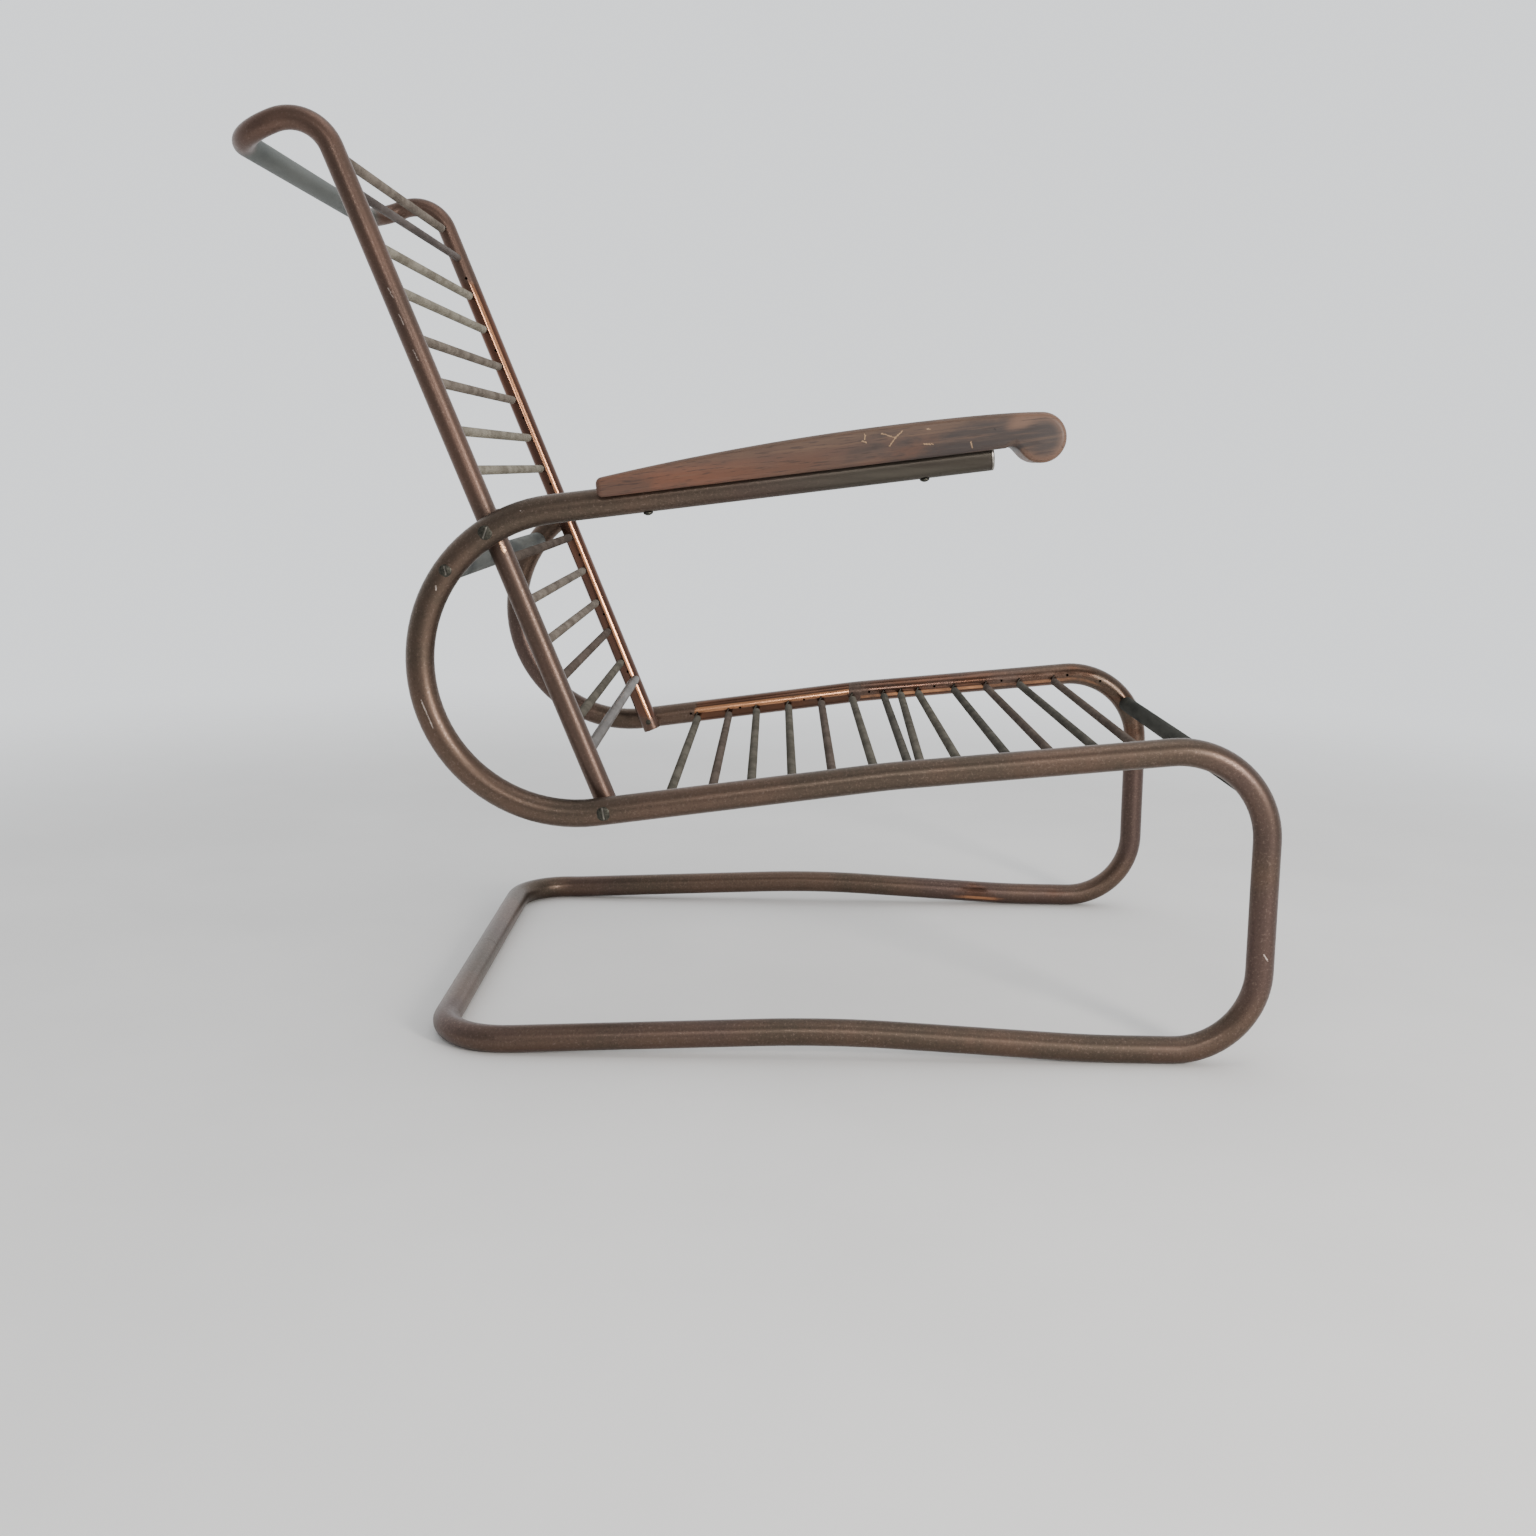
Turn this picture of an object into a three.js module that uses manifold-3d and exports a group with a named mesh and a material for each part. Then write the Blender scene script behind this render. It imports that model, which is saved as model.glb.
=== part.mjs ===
// Cantilever lounge chair: two bent steel tube side frames, a bent tube back frame bolted between
// them, close-wound flat springs for the seat and back, and wooden arms.
// Millimetres. The chair faces +X, its width runs along Y, and Z is up with the floor at zero.
// The seat rail's gentle bend, the kink, is the datum of X until the whole chair is centred.

import * as THREE from 'three';
import { mergeVertices } from 'three/addons/utils/BufferGeometryUtils.js';
import Module from 'manifold-3d';

const wasm = await Module();
wasm.setup();

// Side frame tube
const frameTubeDiameter = 25;
const frameTubeWall = 1.5;
const framePlaneSpacing = 535;

// Side frame shape, seen from the side
const seatKinkHeight = 262.5;
const rearRailAngle = 8.08;
const frontRailAngle = 5.88;
const kinkBendRadius = 800;
const loopRadius = 134;
const loopCentreBack = 277.5;
const armAngle = 7.71;
const armTubeReach = 78;
const legReach = 337.8;
const legLeanAngle = 0.86;
const frontBendRadius = 81.5;
const footBendRadius = 75;
const frontFootReach = 192;
const runnerCrestBack = 48;
const runnerCrestRise = 12.9;
const runnerTailBack = 341;
const runnerBendRadius = 1300;
const tailBendRadius = 200;
const rearBarBack = 407;
const rearCornerRadius = 60;

// Joint in the middle of the rear floor bar
const frameJointGap = 0.3;
const sleeveLength = 80;
const sleeveWall = 1.6;

// Back frame tube and shape
const backTubeDiameter = 20;
const backTubeWall = 1.5;
const backInset = 28;
const backReclineAngle = 22.3;
const backBoltBack = 250.8;
const backTailLength = 10.6;
const backUprightLength = 642.8;
const headCurlAngle = 20.9;
const headCurlLength = 74.6;
const headBendRadius = 38;
const headCornerRadius = 37;

// Cross members
const crossTubeDiameter = 17.6;
const crossTubeBendShare = 0.64;
const braceDiameter = 20;
const braceAngle = 36.4;
const braceThreadDepth = 26;

// Springs: one wire wound closed, with one open curl and a hook at each end
const springDiameter = 9;
const springWireDiameter = 1.4;
const springEndGap = 4.2;
const springCurlGap = 0.5;
const springWireBendRadius = 0.9;
const springHookRise = 2.8;
const seatSpringDrop = 6.6;
const backSpringDrop = 3.9;
const hookHoleDiameter = 3;
const wireTurnShare = 0.8;
const buriedWireShare = 0.7;

// Seat springs: places of the holes as shares of the row, rear to front. The springs hang a little
// askew, so each rail has its own, and one spring of the right rail takes its rearmost spare's place.
// The row runs from before the lower back bolts to behind the front bends
const seatRowBoltClearance = 57.2;
const seatRowBendClearance = 14.6;
const seatSpringShares = {
  left: [0, 0.088, 0.1655, 0.2555, 0.348, 0.435, 0.524, 0.572, 0.62, 0.7205, 0.81, 0.903, 1],
  right: [-0.013, 0.08, 0.166, 0.255, 0.3415, 0.433, 0.5055, 0.528, 0.615, 0.724, 0.818, 0.917, 0.998],
};
const seatSpareShares = {
  left: [-0.018, 0.1205, 0.3005, 0.483, 0.666, 0.854, 1.038, 1.131],
  right: [0.1205, 0.3005, 0.483, 0.666, 0.854, 1.038, 1.131],
};

// Back members: places of the holes as shares of the row, bottom to top. The row runs from above the
// lower back bolts to below the corner of the head
const backRowBoltClearance = 52.9;
const backRowHeadClearance = 36.1;
const backLowerBarShare = 0;
const backUpperRodShare = 0.9364;
const backSpringShares = [
  0.045, 0.1168, 0.1826, 0.2553, 0.3303, 0.4072, 0.4837, 0.5516, 0.6342, 0.7064, 0.7864, 0.8579, 1,
];
const backSpareShares = [0.0217, 0.1542, 0.2887, 0.4475, 0.5926, 0.7391, 0.893];
const lowerBarDiameter = 10.6;
const lowerBarForward = 3.9;
const upperRodDiameter = 8;
const tenonDiameter = 4.6;
const tenonLength = 7;

// Wooden arms, in the direction of the arm tube and square to it
const armrestWidth = 48;
const armrestRearBack = 255.5;
const armrestRearHeight = 21;
const armrestCrownHeight = 35.3;
const armrestSeamHeight = 4.7;
const armrestNoseReach = 121;
const armrestNoseHeight = 10.1;
const armrestNoseRadius = 21;
const armrestNoseSweepStart = 83;
const armrestNoseSweepEnd = -140;
const armrestSeamReach = 90;
const armrestNotchReach = 97.3;
const armrestNotchHeight = 6.9;
const armrestEdgeRadius = 5;
const rearCurveShare = 0.51;
const frontCurveShare = 0.71;

// Screws and bolts
const backBoltDiameter = 6;
const backBoltHeadDiameter = 12.4;
const backBoltHeadHeight = 2.2;
const braceScrewDiameter = 6;
const braceScrewHeadDiameter = 11;
const braceScrewHeadHeight = 2.2;
const headSeatDepth = 1.1;
const nutDiameter = 10;
const nutHeight = 2.4;
const nutSeatDepth = 0.9;
const spacerDiameter = 13;
const slotWidth = 1.5;
const slotDepth = 1.2;
const slotTilt = 10;
const headRimShare = 0.35;
const headCrownShare = 0.62;
const armScrewDiameter = 4;
const armScrewHeadDiameter = 8.4;
const armScrewHeadHeight = 2.8;
const armScrewDepth = 22;
const armScrewRearBack = 216;
const armScrewFrontReach = 22;

// Arm tube plugs
const plugDepth = 14;
const plugDomeHeight = 3.6;
const plugRimHeight = 1;
const plugShoulderShare = 0.7;

// Clearances and making
const seatGap = 0.3;
const screwClearance = 0.3;
const overrun = 2;
const weldDistance = 0.0005;
const bendStepAngle = 18.5;
const wireStepAngle = 95;
const curlSteps = 6;
const frameSides = 16;
const frameBoreSides = 8;
const backSides = 12;
const backBoreSides = 8;
const wireSides = 4;
const springSides = 10;
const holeSides = 6;
const screwSides = 8;
const headSides = 12;

// Finishes seen in the photograph
const paint = (color, roughness, metalness) => (
  new THREE.MeshStandardMaterial({ color, roughness, metalness })
);
const bronzedSteel = paint(0x6a5041, 0.42, 0.8);
const greyedSteel = paint(0x4f534e, 0.5, 0.7);
const springSteel = paint(0x5b5a50, 0.55, 0.7);
const screwSteel = paint(0x3b3a38, 0.45, 0.8);
const plugSteel = paint(0x8d857b, 0.35, 0.9);
const wornWood = paint(0x6b4431, 0.6, 0);

// Values worked out from the sizes above
const radians = (angle) => THREE.MathUtils.degToRad(angle);
const apothemShare = (sides) => Math.cos(Math.PI / sides);
const frameRadius = frameTubeDiameter / 2;
const frameBoreRadius = frameRadius - frameTubeWall;
const frameHalfSpacing = framePlaneSpacing / 2;
const frameFace = frameRadius * apothemShare(frameSides);
const frameBoreFace = frameBoreRadius * apothemShare(frameBoreSides);
const backRadius = backTubeDiameter / 2;
const backBoreRadius = backRadius - backTubeWall;
const backHalfSpacing = frameHalfSpacing - backInset;
const backFace = backRadius * apothemShare(backSides);
const backBoreFace = backBoreRadius * apothemShare(backBoreSides);
const floorAxisHeight = frameFace;
const coilRadius = (springDiameter - springWireDiameter) / 2;
const slotUpright = radians(90 - slotTilt);
const armScrewHeadSeat = -frameFace - seatGap;

// Vectors: side-plane points are (x, z) pairs, lifted to a plane y
const flat = (x, z) => new THREE.Vector2(x, z);
const along = (angle) => flat(Math.cos(radians(angle)), Math.sin(radians(angle)));
const leftOf = (direction) => flat(-direction.y, direction.x);
const step = (from, direction, distance) => from.clone().addScaledVector(direction, distance);
const lift = (point, y) => new THREE.Vector3(point.x, y, point.y);
const acrossY = new THREE.Vector3(0, 1, 0);

// Side view of the frame
const kink = flat(0, seatKinkHeight);
const rearRail = along(rearRailAngle);
const frontRail = along(frontRailAngle);
const armLine = along(armAngle);
const legLine = along(legLeanAngle - 90);

const loopFootDistance = (loopCentreBack - loopRadius * rearRail.y) / rearRail.x;
const loopCentre = step(step(kink, rearRail, -loopFootDistance), leftOf(rearRail), loopRadius);
const loopTop = step(loopCentre, leftOf(armLine), loopRadius);
const loopBackward = rearRail.clone().add(armLine).normalize().negate();

// The corner where two tangents of the loop meet, from their unit normals
function loopCorner(normalA, normalB) {
  return step(loopCentre, normalA.clone().add(normalB), loopRadius / (1 + normalA.dot(normalB)));
}

const armTubeEnd = step(loopTop, armLine, (armTubeReach - loopTop.x) / armLine.x);
const loopUpperCorner = loopCorner(leftOf(armLine), loopBackward);
const loopLowerCorner = loopCorner(leftOf(rearRail).negate(), loopBackward);
const frontCorner = step(kink, frontRail, legReach / frontRail.x);
const footCorner = step(frontCorner, legLine, (frontCorner.y - floorAxisHeight) / -legLine.y);

const frontTurn = radians(frontRailAngle + 90 - legLeanAngle);
const frontBendStart = step(frontCorner, frontRail, -frontBendRadius * Math.tan(frontTurn / 2));
const frontBendCentre = step(frontBendStart, leftOf(frontRail), -frontBendRadius);

// Stations of a bent line, placed only at its ends and round its bends, with frames carried along it
class BentLine extends THREE.Curve {
  constructor(points, tangents, firstNormal) {
    super();
    this.points = points;
    this.tangents = tangents;
    this.normals = [];
    this.binormals = [];
    const normal = firstNormal.clone();
    tangents.forEach((tangent, index) => {
      if (index > 0) {
        normal.applyQuaternion(new THREE.Quaternion().setFromUnitVectors(tangents[index - 1], tangent));
      }
      this.normals.push(normal.clone());
      this.binormals.push(tangent.clone().cross(normal));
    });
  }

  getSpacedPoints() {
    return this.points;
  }

  computeFrenetFrames() {
    return { tangents: this.tangents, normals: this.normals, binormals: this.binormals };
  }
}

// Points and tangents of a line through corners, each rounded by its own radius
function roundedStations(corners, stepAngle) {
  const points = [];
  const tangents = [];
  const place = (point, tangent) => {
    if (points.length > 0 && points[points.length - 1].distanceTo(point) < weldDistance) return;
    points.push(point);
    tangents.push(tangent);
  };
  const towards = (index) => corners[index + 1].at.clone().sub(corners[index].at).normalize();
  place(corners[0].at, towards(0));
  for (let index = 1; index < corners.length - 1; index += 1) {
    const { at, radius } = corners[index];
    const before = towards(index - 1);
    const after = towards(index);
    const turn = before.angleTo(after);
    const inward = after.clone().addScaledVector(before, -after.dot(before)).normalize();
    const start = at.clone().addScaledVector(before, -radius * Math.tan(turn / 2));
    const steps = Math.max(1, Math.ceil(turn / radians(stepAngle)));
    for (let count = 0; count <= steps; count += 1) {
      const angle = turn * count / steps;
      const point = start.clone().addScaledVector(before, radius * Math.sin(angle));
      point.addScaledVector(inward, radius * (1 - Math.cos(angle)));
      const tangent = before.clone().multiplyScalar(Math.cos(angle)).addScaledVector(inward, Math.sin(angle));
      place(point, tangent);
    }
  }
  place(corners[corners.length - 1].at, towards(corners.length - 2));
  return { points, tangents };
}

function roundedLine(corners, firstNormal) {
  const { points, tangents } = roundedStations(corners, bendStepAngle);
  return new BentLine(points, tangents, firstNormal);
}

// A regular polygon with a flat side facing each axis
function polygon(radius, sides) {
  return Array.from({ length: sides }, (unused, index) => {
    const angle = 2 * Math.PI * (index + 1 / 2) / sides;
    return new THREE.Vector2(radius * Math.cos(angle), radius * Math.sin(angle));
  });
}

// Solids: a closed geometry becomes a manifold, which can be joined and cut
function solid(geometry) {
  const bare = geometry.clone();
  bare.deleteAttribute('normal');
  bare.deleteAttribute('uv');
  const welded = mergeVertices(bare, weldDistance);
  const vertProperties = Float32Array.from(welded.attributes.position.array);
  const triVerts = Uint32Array.from(welded.index.array);
  return new wasm.Manifold(new wasm.Mesh({ numProp: 3, vertProperties, triVerts }));
}

function geometryOf(manifold) {
  const { vertProperties, triVerts } = manifold.getMesh();
  const geometry = new THREE.BufferGeometry();
  geometry.setAttribute('position', new THREE.BufferAttribute(vertProperties, 3));
  geometry.setIndex(new THREE.BufferAttribute(triVerts, 1));
  geometry.computeVertexNormals();
  return geometry;
}

function sweep(line, radius, sides, boreRadius, boreSides) {
  const section = new THREE.Shape(polygon(radius, sides));
  if (boreRadius) section.holes.push(new THREE.Path(polygon(boreRadius, boreSides)));
  const options = { steps: line.points.length - 1, bevelEnabled: false, extrudePath: line };
  return solid(new THREE.ExtrudeGeometry(section, options));
}

// A straight round bar between two points
function bar(from, to, radius, sides) {
  const length = from.distanceTo(to);
  const halfSide = Math.PI / sides;
  const geometry = new THREE.CylinderGeometry(radius, radius, length, sides, 1, false, halfSide);
  const direction = to.clone().sub(from).normalize();
  geometry.applyQuaternion(new THREE.Quaternion().setFromUnitVectors(acrossY, direction));
  const middle = from.clone().add(to).multiplyScalar(1 / 2);
  return solid(geometry.translate(middle.x, middle.y, middle.z));
}

// A drill leaves at least its radius clear all round
function drill(from, to, radius, sides) {
  return bar(from, to, radius / apothemShare(sides), sides);
}

// A turned piece: its profile of (radius, height) pairs stands on a point along a direction
function turned(profile, around, at, direction) {
  const geometry = new THREE.LatheGeometry(profile.map(([radius, height]) => flat(radius, height)), around);
  geometry.applyQuaternion(new THREE.Quaternion().setFromUnitVectors(acrossY, direction));
  return solid(geometry.translate(at.x, at.y, at.z));
}

const chair = new THREE.Group();
const body = new THREE.Group();
chair.add(body);

function addPiece(name, manifold, material) {
  const mesh = new THREE.Mesh(geometryOf(manifold), material);
  mesh.name = name;
  body.add(mesh);
}

const chairSides = [
  { name: 'left', sign: 1 },
  { name: 'right', sign: -1 },
];

// Side frame: arm tube, loop, seat rail, leg, runner and half of the rear floor bar
function frameLine(sign) {
  const y = sign * frameHalfSpacing;
  const corner = (point, radius) => ({ at: lift(point, y), radius });
  const corners = [
    corner(armTubeEnd),
    corner(loopUpperCorner, loopRadius),
    corner(loopLowerCorner, loopRadius),
    corner(kink, kinkBendRadius),
    corner(frontCorner, frontBendRadius),
    corner(footCorner, footBendRadius),
    corner(flat(frontFootReach, floorAxisHeight), runnerBendRadius),
    corner(flat(-runnerCrestBack, floorAxisHeight + runnerCrestRise), runnerBendRadius),
    corner(flat(-runnerTailBack, floorAxisHeight), tailBendRadius),
    corner(flat(-rearBarBack, floorAxisHeight), rearCornerRadius),
    { at: lift(flat(-rearBarBack, floorAxisHeight), sign * frameJointGap / 2) },
  ];
  return roundedLine(corners, acrossY);
}

// The outside of a side frame tube, one clearance larger, to cut what seats on it
function frameEnvelope(sign) {
  return sweep(frameLine(sign), frameRadius + seatGap / apothemShare(frameSides), frameSides);
}

// Height of the seat rail's axis at a place along it
function railHeight(x) {
  if (x < 0) return seatKinkHeight + x * rearRail.y / rearRail.x;
  if (x <= frontBendStart.x) return seatKinkHeight + x * frontRail.y / frontRail.x;
  const out = Math.min(x - frontBendCentre.x, frontBendRadius);
  return frontBendCentre.y + Math.sqrt(frontBendRadius ** 2 - out ** 2);
}

const railPoint = (x) => flat(x, railHeight(x));
const seatRowBack = backBoltBack - seatRowBoltClearance;
const seatRowLength = frontBendStart.x - seatRowBendClearance + seatRowBack;
const seatRowPoint = (share) => railPoint(share * seatRowLength - seatRowBack);

// Back frame side view: the upright passes through the lower bolt and meets the loop at the upper one
const backUp = along(90 + backReclineAngle);
const backFront = leftOf(backUp).negate();
const lowerBolt = railPoint(-backBoltBack);
const boltToCentre = loopCentre.clone().sub(lowerBolt);
const halfChord = Math.sqrt(loopRadius ** 2 - boltToCentre.dot(backFront) ** 2);
const upperBolt = step(lowerBolt, backUp, boltToCentre.dot(backUp) + halfChord);
const headCorner = step(lowerBolt, backUp, backUprightLength);
const headCurl = along(180 + headCurlAngle);
const headEnd = step(headCorner, headCurl, headCurlLength);

const headTurn = radians(90 + headCurlAngle - backReclineAngle);
const headBendReach = headBendRadius * Math.tan(headTurn / 2);

// Axis of the upright at a distance above the lower bolt, which follows the bend at its top
function uprightPoint(distance) {
  const into = distance - (backUprightLength - headBendReach);
  if (into <= 0) return step(lowerBolt, backUp, distance);
  const angle = Math.min(into / headBendRadius, headTurn);
  const start = step(lowerBolt, backUp, backUprightLength - headBendReach);
  const risen = step(start, backUp, headBendRadius * Math.sin(angle));
  return step(risen, backFront, -headBendRadius * (1 - Math.cos(angle)));
}

const backRowLength = backUprightLength - backRowBoltClearance - backRowHeadClearance;
const backRowPoint = (share) => uprightPoint(backRowBoltClearance + share * backRowLength);

function backLine() {
  const corner = (point, sign, radius) => ({ at: lift(point, sign * backHalfSpacing), radius });
  const corners = [
    corner(step(lowerBolt, backUp, -backTailLength), -1),
    corner(headCorner, -1, headBendRadius),
    corner(headEnd, -1, headCornerRadius),
    corner(headEnd, 1, headCornerRadius),
    corner(headCorner, 1, headBendRadius),
    corner(step(lowerBolt, backUp, -backTailLength), 1),
  ];
  return roundedLine(corners, acrossY);
}

function backEnvelope() {
  return sweep(backLine(), backRadius + seatGap / apothemShare(backSides), backSides);
}

// A hole through the inner wall of a tube, square to its plane
function wallHole(point, sign, halfSpacing, faceReach, radius) {
  const inner = lift(point, sign * (halfSpacing - faceReach - overrun));
  return drill(inner, lift(point, sign * halfSpacing), radius, holeSides);
}

// A through hole for a bolt or screw along Y, with a flat seat cut into the outer or inner face
function boltHole(point, sign, halfSpacing, faceReach, boltDiameter) {
  const inner = lift(point, sign * (halfSpacing - faceReach - overrun));
  const outer = lift(point, sign * (halfSpacing + faceReach + overrun));
  return drill(inner, outer, boltDiameter / 2 + screwClearance, screwSides);
}

function faceSeat(point, sign, bottom, top, diameter) {
  return drill(lift(point, sign * bottom), lift(point, sign * top), diameter / 2 + screwClearance, headSides);
}

// Places on the arm, from the arm tube's axis above the kink: along the tube and square to it
const armOrigin = step(loopTop, armLine, -loopTop.x / armLine.x);
const armPoint = (reach, height) => step(step(armOrigin, armLine, reach), leftOf(armLine), height);
const armScrewPlaces = [
  { name: 'rear', reach: -armScrewRearBack },
  { name: 'front', reach: armScrewFrontReach },
];

const bracePoint = step(loopCentre, along(180 - braceAngle), loopRadius);
const crossTubeAngle = frontRailAngle + 90 - crossTubeBendShare * THREE.MathUtils.radToDeg(frontTurn);
const crossTubePoint = step(frontBendCentre, along(crossTubeAngle), frontBendRadius);

function sideFrame({ name, sign }) {
  let tube = sweep(frameLine(sign), frameRadius, frameSides, frameBoreRadius, frameBoreSides);
  const cuts = [...seatSpringShares[name], ...seatSpareShares[name]].map((share) => (
    wallHole(seatRowPoint(share), sign, frameHalfSpacing, frameFace, hookHoleDiameter / 2)
  ));
  const outerFace = frameHalfSpacing + frameFace;
  const headSeat = [outerFace - headSeatDepth, outerFace + overrun];
  for (const point of [lowerBolt, upperBolt]) {
    cuts.push(boltHole(point, sign, frameHalfSpacing, frameFace, backBoltDiameter));
    cuts.push(faceSeat(point, sign, ...headSeat, backBoltHeadDiameter));
  }
  cuts.push(boltHole(bracePoint, sign, frameHalfSpacing, frameFace, braceScrewDiameter));
  cuts.push(faceSeat(bracePoint, sign, ...headSeat, braceScrewHeadDiameter));
  for (const { reach } of armScrewPlaces) {
    const below = lift(armPoint(reach, -frameRadius - overrun), sign * frameHalfSpacing);
    const above = lift(armPoint(reach, frameRadius + overrun), sign * frameHalfSpacing);
    cuts.push(drill(below, above, armScrewDiameter / 2 + screwClearance, screwSides));
  }
  for (const cut of cuts) tube = tube.subtract(cut);
  return tube;
}

for (const side of chairSides) addPiece(`side_frame_${side.name}`, sideFrame(side), bronzedSteel);

// Sleeve inside the rear floor bar, across the joint of the two halves
function jointSleeve() {
  const radius = frameBoreRadius - seatGap / apothemShare(frameBoreSides);
  const end = flat(-rearBarBack, floorAxisHeight);
  const points = [lift(end, -sleeveLength / 2), lift(end, sleeveLength / 2)];
  const line = new BentLine(points, [acrossY, acrossY], new THREE.Vector3(1, 0, 0));
  return sweep(line, radius, frameBoreSides, radius - sleeveWall, frameBoreSides);
}

addPiece('frame_joint_sleeve', jointSleeve(), greyedSteel);

// A cross member along Y between the side frames, its ends shaped to sit round their tubes
function copedBar(point, diameter, barSides) {
  const full = bar(lift(point, -frameHalfSpacing), lift(point, frameHalfSpacing), diameter / 2, barSides);
  return full.subtract(frameEnvelope(1)).subtract(frameEnvelope(-1));
}

addPiece('front_cross_tube', copedBar(crossTubePoint, crossTubeDiameter, backSides), greyedSteel);

function rearBrace() {
  let brace = copedBar(bracePoint, braceDiameter, frameSides);
  const end = frameHalfSpacing - frameFace;
  for (const { sign } of chairSides) {
    const mouth = lift(bracePoint, sign * (end + overrun));
    const bottom = lift(bracePoint, sign * (end - braceThreadDepth));
    brace = brace.subtract(drill(mouth, bottom, braceScrewDiameter / 2 + screwClearance, screwSides));
  }
  return brace;
}

addPiece('rear_brace', rearBrace(), greyedSteel);

const lowerBarPoint = step(backRowPoint(backLowerBarShare), backFront, lowerBarForward);
const upperRodPoint = backRowPoint(backUpperRodShare);

// Back frame: two uprights and the rolled head in one tube
function backFrame() {
  let tube = sweep(backLine(), backRadius, backSides, backBoreRadius, backBoreSides);
  const innerFace = backHalfSpacing - backFace;
  for (const { sign } of chairSides) {
    for (const share of [...backSpringShares, ...backSpareShares]) {
      const hole = wallHole(backRowPoint(share), sign, backHalfSpacing, backFace, hookHoleDiameter / 2);
      tube = tube.subtract(hole);
    }
    for (const place of [lowerBarPoint, upperRodPoint]) {
      const radius = tenonDiameter / 2 + screwClearance;
      tube = tube.subtract(wallHole(place, sign, backHalfSpacing, backFace, radius));
    }
    for (const point of [lowerBolt, upperBolt]) {
      tube = tube.subtract(boltHole(point, sign, backHalfSpacing, backFace, backBoltDiameter));
      tube = tube.subtract(faceSeat(point, sign, innerFace - overrun, innerFace + nutSeatDepth, nutDiameter));
    }
  }
  return tube;
}

addPiece('back_frame', backFrame(), bronzedSteel);

// A stay between the uprights: coped ends, with a tenon into each upright's inner wall
function stay(point, diameter) {
  const ends = chairSides.map(({ sign }) => lift(point, sign * backHalfSpacing));
  const rod = bar(ends[0], ends[1], diameter / 2, backSides).subtract(backEnvelope());
  const reach = backHalfSpacing - backFace + tenonLength - backTubeWall;
  const tenon = bar(lift(point, -reach), lift(point, reach), tenonDiameter / 2, screwSides);
  return rod.add(tenon);
}

addPiece('back_lower_bar', stay(lowerBarPoint, lowerBarDiameter), greyedSteel);
addPiece('back_upper_rod', stay(upperRodPoint, upperRodDiameter), bronzedSteel);

// Springs, made along Y with the hooks at +Z of the axis and then placed. The open curl's wire leaves
// the coil straight for the hole, which lies above the axis by the spring's drop
const curlGaps = [];
const radialNormal = (point) => new THREE.Vector3(point.x, 0, point.z).normalize();

function hookEnd(barrelEnd, innerWall, drop) {
  const points = [];
  const tangents = [];
  const lastAngle = -Math.acos(coilRadius / drop);
  const pitch = springWireDiameter + springCurlGap;
  const advance = pitch / (2 * Math.PI);
  for (let count = -1; count <= curlSteps; count += 1) {
    const share = count / curlSteps;
    const angle = lastAngle - 2 * Math.PI * (1 - share);
    const height = count < 0 ? -springWireDiameter : springWireDiameter / 2 + springCurlGap + pitch * share;
    const reach = coilRadius * (count < 0 ? buriedWireShare : 1);
    const place = new THREE.Vector3(Math.sin(angle), 0, Math.cos(angle)).multiplyScalar(reach);
    points.push(place.setY(barrelEnd + height));
    const tangent = new THREE.Vector3(coilRadius * Math.cos(angle), advance, -coilRadius * Math.sin(angle));
    tangents.push(tangent.normalize());
  }
  const from = points[points.length - 1];
  const turnIn = new THREE.Vector3(0, from.y, drop);
  const turnUp = turnIn.clone().setY(innerWall + seatGap + springWireDiameter / 2);
  const tip = turnUp.clone().add(new THREE.Vector3(0, 0, springHookRise));
  const hook = roundedStations([
    { at: from },
    { at: turnIn, radius: springWireBendRadius * wireTurnShare },
    { at: turnUp, radius: springWireBendRadius },
    { at: tip },
  ], wireStepAngle);
  points.push(...hook.points.slice(1));
  tangents.push(...hook.tangents.slice(1));
  curlGaps.push(leastSelfGap(points));
  return sweep(new BentLine(points, tangents, radialNormal(points[0])), springWireDiameter / 2, wireSides);
}

// Least clear distance of the wire to itself, from points at least one wire turn radius apart on it
function leastSelfGap(points) {
  let least = Infinity;
  const travelled = [0];
  for (let index = 1; index < points.length; index += 1) {
    travelled.push(travelled[index - 1] + points[index].distanceTo(points[index - 1]));
  }
  for (let one = 0; one < points.length; one += 1) {
    for (let other = one + 1; other < points.length; other += 1) {
      if (travelled[other] - travelled[one] < Math.PI * coilRadius) continue;
      least = Math.min(least, points[one].distanceTo(points[other]) - springWireDiameter);
    }
  }
  return least;
}

function spring([leftHook, rightHook], halfSpacing, faceReach, boreReach, rise, drop) {
  const left = lift(leftHook, halfSpacing);
  const right = lift(rightHook, -halfSpacing);
  const direction = left.clone().sub(right).normalize();
  const stretch = 1 / direction.y;
  const outerWall = (halfSpacing - faceReach) * stretch;
  const innerWall = (halfSpacing - boreReach) * stretch;
  const barrelEnd = outerWall - springEndGap;
  const ends = [new THREE.Vector3(0, -barrelEnd, 0), new THREE.Vector3(0, barrelEnd, 0)];
  const end = hookEnd(barrelEnd, innerWall, drop);
  const wound = bar(ends[0], ends[1], springDiameter / 2, springSides).add(end).add(end.rotate([0, 0, 180]));
  const up = lift(rise, 0);
  const side = direction.clone().cross(up).normalize();
  const risen = side.clone().cross(direction);
  const middle = left.clone().add(right).multiplyScalar(1 / 2).addScaledVector(risen, -drop);
  const placing = new THREE.Matrix4().makeBasis(side, direction, risen).setPosition(middle);
  return wound.transform(placing.elements);
}

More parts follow.
